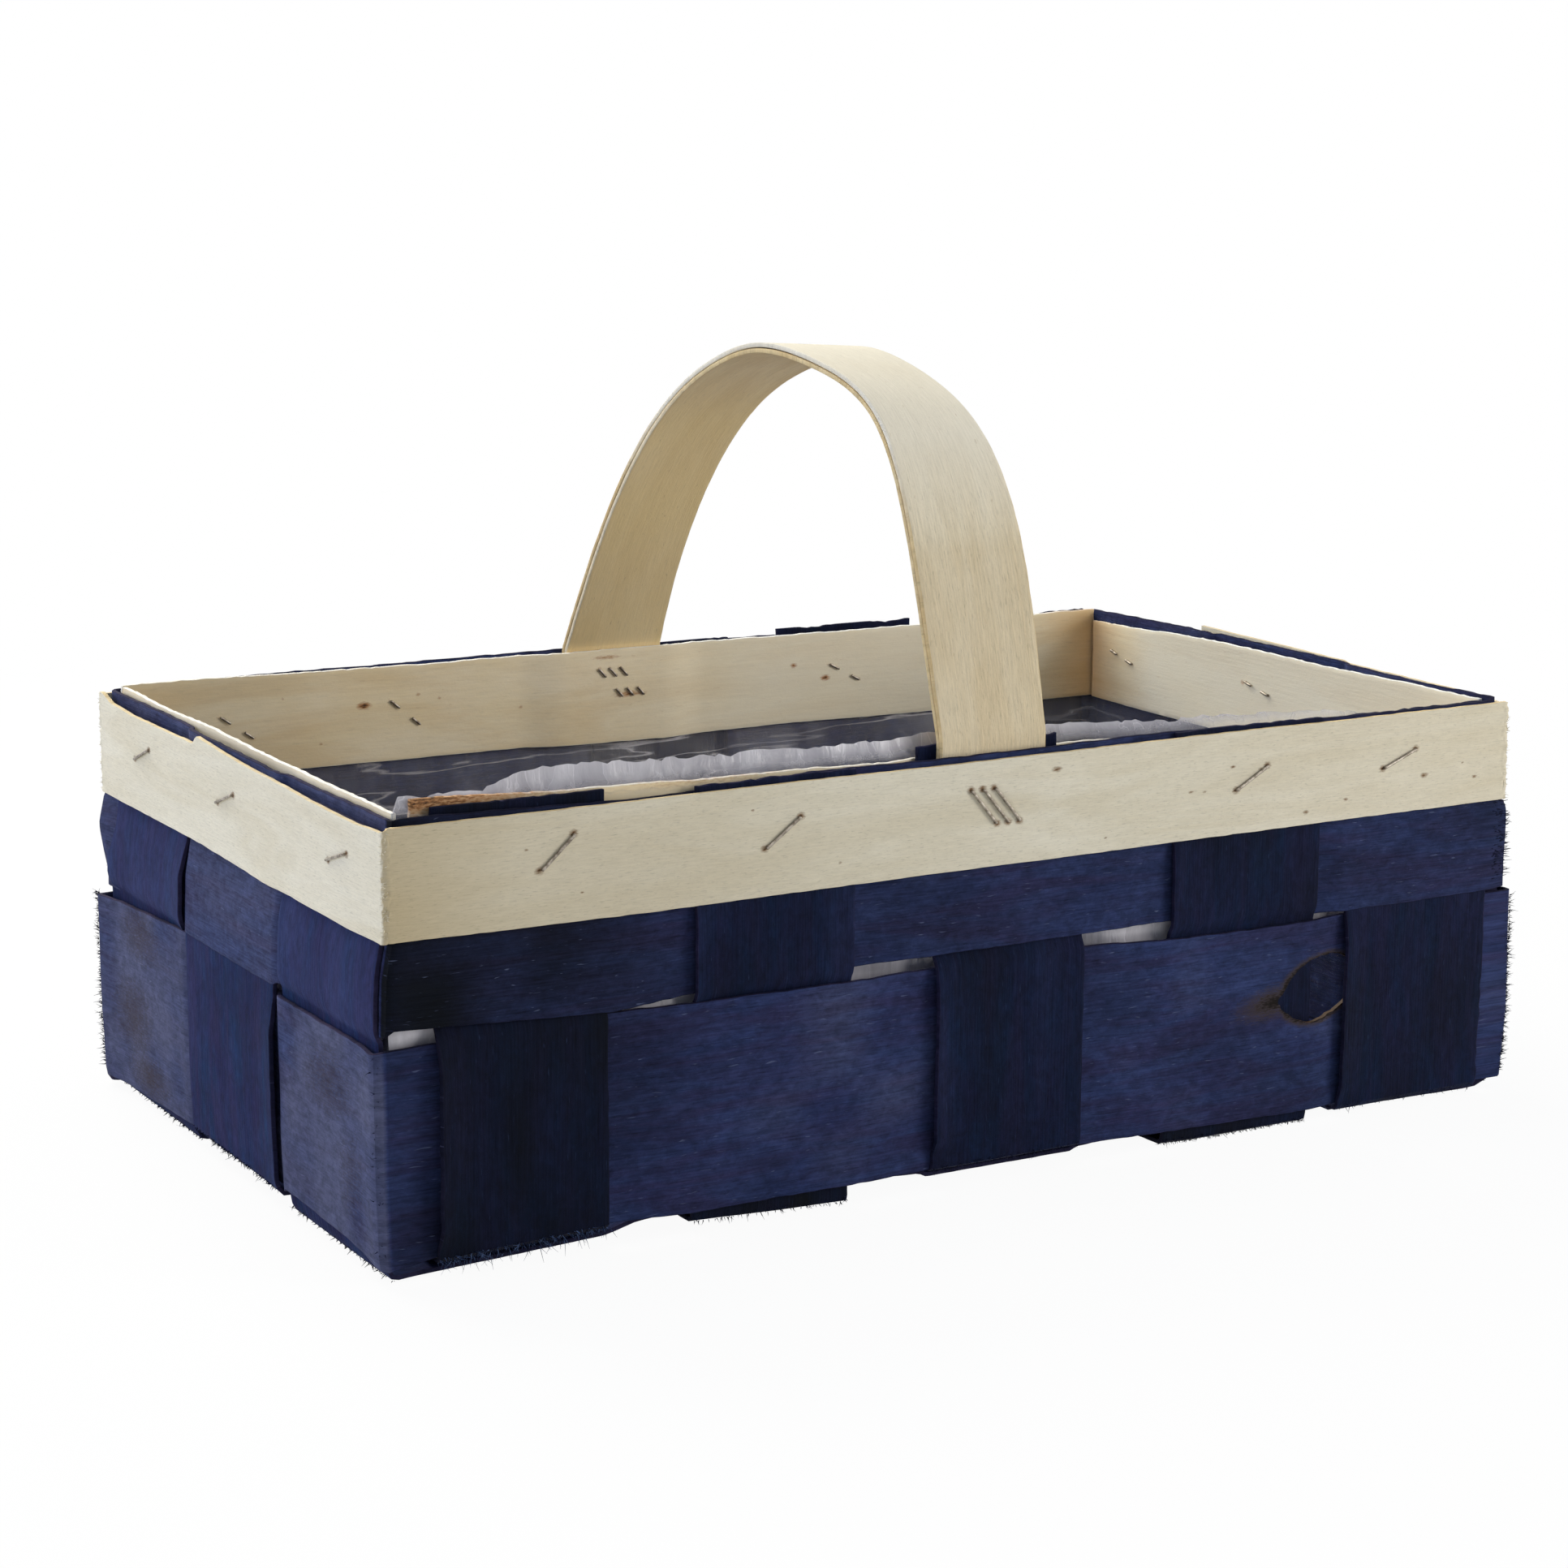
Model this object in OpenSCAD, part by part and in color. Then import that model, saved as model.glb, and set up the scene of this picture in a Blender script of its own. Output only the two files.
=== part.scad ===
// Rectangular gift basket plaited from wide chip-wood strips, with a bent two-ply handle.
// Five cross strips and three long strips form the bottom and fold up as stakes. Two weavers
// go round the stakes. The rim is an outer band, four inner bands and the wire staples that
// clamp handle, stakes and liner film between them.
// Millimetres. The origin is the middle of the bottom, X runs along the length, the front is -Y.

/* [Body] */
// Length over the outer rim band, left to right
basket_length = 300; // [270:1:330]
// Depth over the outer rim band, front to back
basket_depth = 176; // [156:1:196]
// Thickness of the veneer that the strips and bands are cut from
veneer_t = 1.2; // [0.9:0.1:1.5]
// Air between two veneers that lie on each other
layer_gap = 0.1; // [0.05:0.01:0.15]
// Radius of a strip's bend, to the middle of its thickness
bend_r = 1.6; // [1.2:0.1:2.2]

/* [Strips] */
// Width of the middle cross strip, which the other four follow
cross_strip_w = 41; // [36:0.5:44]
// Space between two long strips that lie side by side
long_strip_gap = 2; // [1.5:0.1:6]
// Height of a stake's cut end above the upper weaver
stake_rise = 0.8; // [0.2:0.1:2]
// The same where the front foot of the handle lifts the middle stake
lifted_stake_rise = 2.5; // [2:0.1:5]

/* [Weavers] */
// Height of the lower weaver's lower edge above the floor
weaver_foot = 4.5; // [3.2:0.1:7]
// Width of the lower weaver
lower_weaver_w = 47.5; // [40:0.5:54]
// Slit between the two weavers
weaver_slit = 3; // [1.5:0.1:6]
// Width of the upper weaver
upper_weaver_w = 46.5; // [40:0.5:54]
// Length of the knot hole in the front of the lower weaver
knot_w = 23; // [12:0.5:26]
// Height of the knot hole
knot_h = 15; // [6:0.5:18]

/* [Rim] */
// Width of the outer rim band
rim_band_w = 24; // [20:0.5:28]
// Height of the upper weaver's edge above the outer rim band
weaver_rise = 2.1; // [0.5:0.1:4]
// Length over which the two ends of the outer rim band overlap
rim_band_lap = 60; // [30:1:80]
// Radius of the outer rim band's sharp folds, to the middle of its thickness
fold_r = 0.9; // [0.8:0.1:1.5]
// Width of the inner rim bands
inner_band_w = 24; // [20:0.5:28]
// Height of the inner rim bands' top edge above the outer rim band
inner_band_rise = 0.8; // [0:0.1:2]
// Slope of the front inner band, which stands higher on the left
inner_band_tilt = 1.1; // [0:0.1:1.5]
// Distance of the front inner band's cut end from the left inner band
inner_band_short = 2.5; // [0.5:0.1:6]

/* [Handle] */
// Width of the handle
handle_w = 28.5; // [22:0.5:32]
// Thickness of one of the handle's two plies
ply_t = 1.2; // [0.9:0.1:1.5]
// Height of the handle's crown above the outer rim band
handle_rise = 87.7; // [60:0.5:110]
// Distance of the crown from the basket's middle, towards the front
crown_forward = 13.9; // [0:0.1:20]
// Length of a handle leg inside the wall
tongue_depth = 25.5; // [16:0.5:30]
// Middle of the front foot, left of the basket's middle
front_foot_left = 1; // [0:0.5:6]
// Distance that the back foot stands further to the left
handle_skew = 8; // [0:0.5:10]

/* [Liner film] */
// Thickness of the film
film_t = 0.2; // [0.1:0.05:0.3]
// Height of the film's highest point above the outer rim band
film_rise = 10; // [4:0.5:14]
// Distance of the film's edge below the outer rim band on the other three sides
film_drop = 1; // [0:0.1:6]

/* [Staples] */
// Diameter of the staple wire
wire_d = 0.7; // [0.5:0.05:0.8]
// Width of a staple over the middles of its legs
crown_w = 10; // [8:0.1:12]
// Length of the bent tips on the inside
tip_l = 2.6; // [1.5:0.1:4]
// Distance between two of the three staples at a handle foot
staple_pitch = 3.2; // [2.2:0.1:4.5]

/* [Hidden] */

// Layers of the wall. A distance across the wall, out positive, is called its depth in these names.
step = veneer_t + layer_gap;
lay = step / 2;
wall_x = basket_length / 2 - 2 * step + layer_gap / 2;
wall_y = basket_depth / 2 - 2 * step + layer_gap / 2;
band_depth = lay + step;
inner_face_depth = -(lay + veneer_t / 2 + layer_gap);
film_depth = inner_face_depth - film_t / 2;
inner_band_depth = inner_face_depth - film_t - layer_gap - veneer_t / 2;
handle_stack = 2 * (ply_t + layer_gap);
floor_mid = lay + veneer_t / 2;

// Heights of the wall
lower_top = weaver_foot + lower_weaver_w;
upper_low = lower_top + weaver_slit;
wall_top = upper_low + upper_weaver_w;
band_top = wall_top - weaver_rise;
band_mid = band_top - rim_band_w / 2;
stake_top = wall_top + stake_rise;
lifted_stake_top = wall_top + lifted_stake_rise;
tongue_low = wall_top - tongue_depth;
push_ramp = tongue_depth / 3;

// Cross strips, left to right: widths and the spaces to the left of each, as shares
cross_width_shares = [0.976, 0.976, 1, 1.049, 1.049];
cross_space_shares = [0.0855, 0.253, 0.259, 0.295, 0.1075];
cross_w = [for (share = cross_width_shares) share * cross_strip_w];
cross_span = 2 * (wall_x - lay - bend_r - layer_gap);
cross_free = cross_span - sum(cross_w, len(cross_w));
cross_lo = [for (k = [0:4]) -cross_span / 2 + sum(cross_w, k)
    + cross_free * sum(cross_space_shares, k + 1)];
cross_hi = [for (k = [0:4]) cross_lo[k] + cross_w[k]];
middle_stake = 2;

// Long strips, front to back
long_width_shares = [0.329, 0.342, 0.329];
long_span = 2 * (wall_y - lay - bend_r - layer_gap);
long_w = [for (share = long_width_shares) share * (long_span - 2 * long_strip_gap)];
long_lo = [for (m = [0:2]) -long_span / 2 + sum(long_w, m) + m * long_strip_gap];
long_hi = [for (m = [0:2]) long_lo[m] + long_w[m]];

// Handle: its feet and the shape of its arch
ply_shift = (ply_t + layer_gap) / 2;
front_foot_y = -(wall_y + lay - veneer_t / 2 - layer_gap - ply_t - layer_gap / 2);
back_foot_y = wall_y + inner_face_depth - ply_t - layer_gap / 2;
front_foot_x = -front_foot_left;
back_foot_x = front_foot_x - handle_skew;
front_bend_z = lifted_stake_top + layer_gap;
back_bend_z = wall_top;
crown_y = -crown_forward;
crown_z = band_top + handle_rise - ply_t - layer_gap / 2;
front_lean = 7.5;
back_lean = 24;
front_leg_share = 0.66;
back_leg_share = 0.27;
front_crown_share = 0.64;
back_crown_share = 0.45;
arch_steps = 22;

// Staples as seen from outside. Each row: strip, place along the strip's width and up the
// band as shares, and slope in degrees.
front_staple_shares = [[0, 0.19, 0.1, 42], [1, 0.02, 0.04, 36], [3, -0.01, 0.04, 29], [4, -0.18, 0.06, 21.5]];
back_staple_shares = [[0, 0.05, 0.05, 35], [1, -0.33, 0.05, 40], [3, -0.23, 0.06, 28], [4, -0.3, 0.05, 33]];
left_staple_shares = [[0, -0.13, 0.03, 18], [1, 0.03, 0.05, 19], [2, 0, 0.08, 21]];
right_staple_shares = [[0, -0.1, 0.04, 15], [1, 0.09, 0.08, 12.5], [2, 0.2, 0.06, 14]];
trio_height_shares = [0.06, 0.2];
trio_slopes = [-50, 48];
leg_clearance = 0.05;
hole_d = wire_d + 2 * leg_clearance;
rim_clamp = band_depth + veneer_t / 2 - inner_band_depth + veneer_t / 2;
round_fn = 20;
bend_steps = 5;
overrun = veneer_t;

function sum(list, n) = n <= 0 ? 0 : list[n - 1] + sum(list, n - 1);
function reverse(list) = [for (i = [len(list) - 1:-1:0]) list[i]];

// 1 for the first, third and fifth strip, -1 for the others
function alt(k) = k % 2 == 0 ? 1 : -1;

// Depth of a weaver where it passes a stake. The lower weaver has level 1, the upper one -1.
function at_cross(k, level) = -alt(k) * level * lay;
function at_long(m, level) = alt(m) * level * lay;

// A ribbon is a list of stations. Each is a point of its middle line and its outward normal.
function flat_at(point, normal) = [[point, normal]];
function bend(corner, from, to, r) = [for (i = [0:bend_steps]) let (
    turn = 90 * i / bend_steps,
    normal = from * cos(turn) + to * sin(turn)) [corner + (normal - from - to) * r, normal]];
function outer_side(path, t) = [for (s = path) s[0] + s[1] * t / 2];
function inner_side(path, t) = [for (s = path) s[0] - s[1] * t / 2];

module ribbon(path, t) {
    polygon(concat(outer_side(path, t), reverse(inner_side(path, t))));
}

module ring(path, t) {
    difference() {
        polygon(outer_side(path, t));
        polygon(inner_side(path, t));
    }
}

// Wall part of a stake, from its cut end down to the bend. The side is -1 or 1, the size is
// wall_x or wall_y, upper and lower are its depths behind the weavers, and push is how far
// the handle's foot presses it inwards.
function stake_wall(side, size, upper, lower, top, push) = concat(
    push == 0 ? [] : [
        [[side * (size + upper - push), top], [side, 0]],
        [[side * (size + upper - push), tongue_low - layer_gap], [side, 0]]],
    [[[side * (size + upper), push == 0 ? top : tongue_low - push_ramp], [side, 0]],
     [[side * (size + upper), upper_low], [side, 0]],
     [[side * (size + lower), lower_top], [side, 0]]]);

// Middle height of a strip on the bottom, where cross strip k meets long strip m
function cross_level(k, m) = floor_mid + alt(k + m) * lay;
function long_level(k, m) = floor_mid - alt(k + m) * lay;

// Cross strip k in the Y-Z plane, from the front rim under the basket to the back rim
function cross_path(k) = let (
    upper = -at_cross(k, -1),
    lower = -at_cross(k, 1),
    pushed = k == middle_stake ? handle_stack : 0,
    front_top = k == middle_stake ? lifted_stake_top : stake_top) concat(
    stake_wall(-1, wall_y, upper, lower, front_top, pushed),
    bend([-(wall_y + lower), cross_level(k, 0)], [-1, 0], [0, -1], bend_r),
    [[[long_hi[0], cross_level(k, 0)], [0, -1]],
     [[long_lo[1], cross_level(k, 1)], [0, -1]],
     [[long_hi[1], cross_level(k, 1)], [0, -1]],
     [[long_lo[2], cross_level(k, 2)], [0, -1]]],
    bend([wall_y + lower, cross_level(k, 2)], [0, -1], [1, 0], bend_r),
    reverse(stake_wall(1, wall_y, upper, lower, stake_top, 0)));

// Long strip m in the X-Z plane, from the left rim under the basket to the right rim
function long_path(m) = let (
    upper = -at_long(m, -1),
    lower = -at_long(m, 1)) concat(
    stake_wall(-1, wall_x, upper, lower, stake_top, 0),
    bend([-(wall_x + lower), long_level(0, m)], [-1, 0], [0, -1], bend_r),
    [for (k = [0:3], x = [cross_hi[k], cross_lo[k + 1]])
        [[x, long_level(x == cross_hi[k] ? k : k + 1, m)], [0, -1]]],
    bend([wall_x + lower, long_level(4, m)], [0, -1], [1, 0], bend_r),
    reverse(stake_wall(1, wall_x, upper, lower, stake_top, 0)));

// Edges of a stake as the upper weaver meets them, with the front foot of the handle
function near_lo(k, level) = k == middle_stake && level < 0
    ? min(cross_lo[k], front_foot_x - handle_w / 2 - layer_gap) : cross_lo[k];
function near_hi(k, level) = k == middle_stake && level < 0
    ? max(cross_hi[k], front_foot_x + handle_w / 2 + layer_gap) : cross_hi[k];

// A weaver in plan. It starts and ends in the space right of the middle stake on the back,
// where its two ends overlap.
function weaver_path(level) = let (
    left = wall_x + at_long(0, level),
    front = wall_y + at_cross(0, level)) concat(
    [[[cross_lo[3] - layer_gap, wall_y + at_cross(2, level)], [0, 1]]],
    [for (k = [2:-1:0], x = [cross_hi[k], cross_lo[k]])
        [[x, wall_y + at_cross(k, level)], [0, 1]]],
    bend([-left, front], [0, 1], [-1, 0], bend_r),
    [for (m = [2:-1:0], y = [long_hi[m], long_lo[m]])
        [[-(wall_x + at_long(m, level)), y], [-1, 0]]],
    bend([-left, -front], [-1, 0], [0, -1], bend_r),
    [for (k = [0:4], x = [near_lo(k, level), near_hi(k, level)])
        [[x, -(wall_y + at_cross(k, level))], [0, -1]]],
    bend([left, -front], [0, -1], [1, 0], bend_r),
    [for (m = [0:2], y = [long_lo[m], long_hi[m]])
        [[wall_x + at_long(m, level), y], [1, 0]]],
    bend([left, front], [1, 0], [0, 1], bend_r),
    [for (k = [4:-1:3], x = [cross_hi[k], cross_lo[k]])
        [[x, wall_y + at_cross(k, level)], [0, 1]]],
    [[[cross_hi[2] + layer_gap, wall_y + at_cross(3, level)], [0, 1]]]);

// The outer rim band in plan. Its free end lies outside on the right.
lap_end_y = rim_band_lap * 0.64;
lap_start_y = lap_end_y - rim_band_lap;
lap_ramp = 4 * veneer_t;
rim_band_path = let (
    x = wall_x + band_depth,
    y = wall_y + band_depth) concat(
    [[[x, lap_start_y], [1, 0]]],
    bend([x, y], [1, 0], [0, 1], fold_r),
    bend([-x, y], [0, 1], [-1, 0], fold_r),
    bend([-x, -y], [-1, 0], [0, -1], fold_r),
    bend([x, -y], [0, -1], [1, 0], fold_r),
    [[[x, lap_start_y - lap_ramp], [1, 0]],
     [[x + step, lap_start_y - layer_gap], [1, 0]],
     [[x + step, lap_end_y], [1, 0]]]);

// Bulge of the liner film and inner bands round a foot of the handle, left end first
bulge_ramp = handle_w / 2;
front_bulge = [min(cross_lo[middle_stake], front_foot_x - handle_w / 2) - layer_gap,
    max(cross_hi[middle_stake], front_foot_x + handle_w / 2) + layer_gap];
back_bulge = [back_foot_x - handle_w / 2 - layer_gap, back_foot_x + handle_w / 2 + layer_gap];
function bulge(side, depth, span) = let (normal = [0, side]) [
    [[span[0] - bulge_ramp, side * (wall_y + depth)], normal],
    [[span[0], side * (wall_y + depth - handle_stack)], normal],
    [[span[1], side * (wall_y + depth - handle_stack)], normal],
    [[span[1] + bulge_ramp, side * (wall_y + depth)], normal]];

// The film's wall in plan, closed
film_path = let (
    x = wall_x + film_depth,
    y = wall_y + film_depth) concat(
    bend([-x, -y], [-1, 0], [0, -1], bend_r),
    bulge(-1, film_depth, front_bulge),
    bend([x, -y], [0, -1], [1, 0], bend_r),
    bend([x, y], [1, 0], [0, 1], bend_r),
    reverse(bulge(1, film_depth, back_bulge)),
    bend([-x, y], [0, 1], [-1, 0], bend_r));

// An arch of two curves from foot to crown to foot
function curve(a, b, c, d, t) = a * pow(1 - t, 3) + 3 * b * t * pow(1 - t, 2) + 3 * c * t * t * (1 - t)
    + d * pow(t, 3);
function curve_way(a, b, c, d, t) = (b - a) * pow(1 - t, 2) + 2 * (c - b) * t * (1 - t) + (d - c) * t * t;
function unit_normal(way) = [-way[1], way[0]] / norm(way);
function arch_half(a, b, c, d, first) = [for (i = [first:arch_steps]) let (t = i / arch_steps)
    [curve(a, b, c, d, t), unit_normal(curve_way(a, b, c, d, t))]];
arch_path = let (
    front = [front_foot_y, front_bend_z],
    back = [back_foot_y, back_bend_z],
    crown = [crown_y, crown_z],
    front_pull = front_leg_share * (crown_z - front_bend_z),
    back_pull = back_leg_share * (crown_z - back_bend_z),
    crown_front = front_crown_share * (crown_y - front_foot_y),
    crown_back = back_crown_share * (back_foot_y - crown_y)) concat(
    [[[front_foot_y, tongue_low], [-1, 0]]],
    arch_half(front, front + front_pull * [sin(front_lean), cos(front_lean)],
        crown - [crown_front, 0], crown, 0),
    arch_half(crown, crown + [crown_back, 0],
        back + back_pull * [-sin(back_lean), cos(back_lean)], back, 1),
    [[[back_foot_y, tongue_low], [1, 0]]]);

function handle_x(y) = front_foot_x
    + (back_foot_x - front_foot_x) * (y - front_foot_y) / (back_foot_y - front_foot_y);

// One ply of the handle, swept along the arch at a distance from its middle line
module handle_ply(shift) {
    count = len(arch_path);
    corners = [for (s = arch_path, edge = [[-1, 1], [1, 1], [1, -1], [-1, -1]]) let (
        point = s[0] + s[1] * (shift + edge[1] * ply_t / 2))
        [handle_x(s[0][0]) + edge[0] * handle_w / 2, point[0], point[1]]];
    sides = [for (i = [0:count - 2], e = [0:3], half = [0, 1]) let (
        a = 4 * i + e,
        b = 4 * i + (e + 1) % 4) half == 0 ? [a, a + 4, b + 4] : [a, b + 4, b]];
    polyhedron(corners, concat(sides, [[0, 1, 2], [0, 2, 3],
        [4 * count - 2, 4 * count - 3, 4 * count - 4], [4 * count - 1, 4 * count - 2, 4 * count - 4]]));
}

// Puts its children on a wall, with their Z outwards. The turn is 0 for the front, 90 for the
// right, 180 for the back and 270 for the left.
function is_cross(turn) = turn % 180 == 0;
module on_wall(turn, along, height, depth) {
    way = turn < 180 ? 1 : -1;
    rotate([0, 0, turn])
        translate([way * along, -((is_cross(turn) ? wall_y : wall_x) + depth), height])
            rotate([90, 0, 0])
                children();
}

// Places of the staples of a wall: along, height, slope and the depth that a second layer of
// the outer rim band adds
function strip_mid(turn, k) = is_cross(turn) ? (cross_lo[k] + cross_hi[k]) / 2 : (long_lo[k] + long_hi[k]) / 2;
function strip_w(turn, k) = is_cross(turn) ? cross_w[k] : long_w[k];
function rim_table(turn) = turn == 0 ? front_staple_shares : turn == 90 ? right_staple_shares
    : turn == 180 ? back_staple_shares : left_staple_shares;
function in_lap(turn, along) = turn == 90 && along > lap_start_y - crown_w && along < lap_end_y + crown_w / 2;
function rim_places(turn) = [for (row = rim_table(turn)) let (
    along = strip_mid(turn, row[0]) + row[1] * strip_w(turn, row[0]))
    [along, band_mid + row[2] * rim_band_w, row[3], in_lap(turn, along) ? step : 0]];
function trio_places(turn) = let (back = turn == 180 ? 1 : 0) [for (i = [-1:1])
    [(back == 1 ? back_foot_x : front_foot_x) + i * staple_pitch,
     band_mid + trio_height_shares[back] * rim_band_w, trio_slopes[back], 0]];
function places(turn) = concat(rim_places(turn), is_cross(turn) ? trio_places(turn) : []);

module leg_holes(turns) {
    reach = rim_clamp + handle_stack + overrun;
    for (turn = turns, place = places(turn), leg = [-1, 1])
        on_wall(turn, place[0], place[1], 0)
            rotate([0, 0, place[2]])
                translate([leg * crown_w / 2, 0, -reach])
                    cylinder(h = 2 * reach, d = hole_d, $fn = round_fn);
}

// A length of wire between two points of the staple's own X-Z plane, with a round end
module wire(from, to) {
    way = to - from;
    translate([from[0], 0, from[1]])
        rotate([0, atan2(way[0], way[1]), 0])
            cylinder(h = norm(way), d = wire_d, $fn = round_fn);
    translate([to[0], 0, to[1]])
        sphere(d = wire_d, $fn = round_fn);
}

// A closed staple: crown outside, two legs through the wall and two tips bent inwards
module staple(clamp) {
    seat = (wire_d + layer_gap) / 2;
    inside = -clamp - seat;
    half = crown_w / 2;
    wire([-half, seat], [half, seat]);
    wire([half, seat], [half, inside]);
    wire([half, inside], [half - tip_l, inside]);
    wire([-half, inside], [-half, seat]);
    wire([-half + tip_l, inside], [-half, inside]);
}

module staples(turn, table, clamp) {
    for (place = table)
        on_wall(turn, place[0], place[1], band_depth + veneer_t / 2 + place[3])
            rotate([0, 0, place[2]])
                staple(clamp + place[3]);
}

module cross_strip(k) {
    color(k % 2 == 0 ? "midnightblue" : "navy")
        difference() {
            translate([cross_lo[k], 0, 0])
                rotate([90, 0, 90])
                    linear_extrude(cross_w[k])
                        ribbon(cross_path(k), veneer_t);
            leg_holes([0, 180]);
        }
}

module long_strip(m) {
    color("midnightblue")
        difference() {
            translate([0, long_hi[m], 0])
                rotate([90, 0, 0])
                    linear_extrude(long_w[m])
                        ribbon(long_path(m), veneer_t);
            leg_holes([90, 270]);
        }
}

// An eye-shaped hole where a knot has dropped out, between the fourth and fifth stakes
module knot_hole() {
    r = (knot_w * knot_w + knot_h * knot_h) / (4 * knot_h);
    translate([cross_lo[4] - knot_w / 2, -wall_y + band_depth, weaver_foot + lower_weaver_w * 0.626])
        rotate([90, 0, 0])
            linear_extrude(2 * band_depth)
                intersection() {
                    translate([0, r - knot_h / 2]) circle(r, $fn = 2 * round_fn);
                    translate([0, knot_h / 2 - r]) circle(r, $fn = 2 * round_fn);
                }
}

module lower_weaver() {
    color("darkslateblue")
        difference() {
            translate([0, 0, weaver_foot])
                linear_extrude(lower_weaver_w)
                    ribbon(weaver_path(1), veneer_t);
            knot_hole();
        }
}

module upper_weaver() {
    color("darkslateblue")
        difference() {
            translate([0, 0, upper_low])
                linear_extrude(upper_weaver_w)
                    ribbon(weaver_path(-1), veneer_t);
            leg_holes([0, 90, 180, 270]);
        }
}

module outer_rim_band() {
    color("cornsilk")
        difference() {
            translate([0, 0, band_top - rim_band_w])
                linear_extrude(rim_band_w)
                    ribbon(rim_band_path, veneer_t);
            leg_holes([0, 90, 180, 270]);
        }
}

// Inner bands of the front and back, bent round the feet of the handle
module long_inner_band(side, left_end, right_end, span, tilt) {
    y = side * (wall_y + inner_band_depth);
    top = band_top + inner_band_rise;
    path = concat([[[left_end, y], [0, side]]], bulge(side, inner_band_depth, span),
        [[[right_end, y], [0, side]]]);
    color("wheat")
        difference() {
            translate([0, 0, top - inner_band_w / 2])
                rotate([0, tilt, 0])
                    translate([0, 0, -inner_band_w / 2])
                        linear_extrude(inner_band_w)
                            ribbon(path, veneer_t);
            leg_holes([side < 0 ? 0 : 180]);
        }
}

band_end_x = wall_x + film_depth - bend_r;
band_end_y = wall_y + film_depth - bend_r;

module inner_rim_front() {
    long_inner_band(-1, -band_end_x + inner_band_short, band_end_x, front_bulge, inner_band_tilt);
}

module inner_rim_back() {
    long_inner_band(1, -band_end_x, band_end_x, back_bulge, 0);
}

module short_inner_band(side) {
    color("wheat")
        difference() {
            translate([side * (wall_x + inner_band_depth) - veneer_t / 2, -band_end_y,
                band_top + inner_band_rise - stake_rise - inner_band_w])
                cube([veneer_t, 2 * band_end_y, inner_band_w]);
            leg_holes([side < 0 ? 270 : 90]);
        }
}

module handle_outer_ply() {
    color("blanchedalmond")
        difference() {
            handle_ply(ply_shift);
            leg_holes([0, 180]);
        }
}

module handle_inner_ply() {
    color("bisque")
        difference() {
            handle_ply(-ply_shift);
            leg_holes([0, 180]);
        }
}

// Top edge of the film along the front: place along the length and height, as shares
film_edge_shares = [[-0.49, 0.4], [-0.41, 0.95], [-0.355, 1], [-0.23, 0.88], [-0.06, 0.7],
    [0.13, 0.6], [0.37, 0.05], [0.49, 0]];

// Thin film tray: the bottom, the wall and the raised edge along the front
module liner_film() {
    peak = band_top + film_rise;
    rest = band_top - film_drop;
    edge = [for (share = film_edge_shares) [share[0] * basket_length, rest + share[1] * (peak - rest)]];
    floor_z = floor_mid + lay + veneer_t / 2 + layer_gap;
    color("lightsteelblue", 0.5)
        difference() {
            translate([0, 0, floor_z]) {
                linear_extrude(film_t) polygon(outer_side(film_path, film_t));
                linear_extrude(peak - floor_z) ring(film_path, film_t);
            }
            translate([-basket_length / 2, -wall_y - film_depth + handle_stack + step, rest])
                cube([basket_length, basket_depth, film_rise + film_drop + overrun]);
            rotate([90, 0, 0])
                linear_extrude(basket_depth)
                    polygon(concat([[-basket_length / 2, rest]], edge, [[basket_length / 2, rest],
                        [basket_length / 2, peak + overrun], [-basket_length / 2, peak + overrun]]));
            leg_holes([0, 90, 180, 270]);
        }
}

module rim_staples(turn) {
    color("dimgray") staples(turn, rim_places(turn), rim_clamp);
}

module handle_staples(turn) {
    color("dimgray") staples(turn, trio_places(turn), rim_clamp + handle_stack);
}

cross_strip(0);  // cross_strip_1
cross_strip(1);  // cross_strip_2
cross_strip(2);  // cross_strip_3
cross_strip(3);  // cross_strip_4
cross_strip(4);  // cross_strip_5
long_strip(0);  // long_strip_front
long_strip(1);  // long_strip_middle
long_strip(2);  // long_strip_back
lower_weaver();
upper_weaver();
outer_rim_band();
inner_rim_front();
inner_rim_back();
short_inner_band(-1);  // inner_rim_left
short_inner_band(1);  // inner_rim_right
handle_outer_ply();
handle_inner_ply();
liner_film();
rim_staples(0);  // rim_staples_front
rim_staples(180);  // rim_staples_back
rim_staples(270);  // rim_staples_left
rim_staples(90);  // rim_staples_right
handle_staples(0);  // handle_staples_front
handle_staples(180);  // handle_staples_back
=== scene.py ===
# %% [markdown]
# A plaited gift basket
# The basket is made of wide strips of thin wood. Eight dyed strips cross under the bottom and
# fold up as stakes, two weavers go round them, and natural bands and a two-ply handle are
# stapled to the rim. A clear film lines the inside. This lesson makes each strip the way a
# basket maker does: it is cut flat, given its thickness, and then folded along its route.

# %% Open the frame
import math

import bpy
import numpy as np
from mathutils import Matrix, Vector


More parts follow.
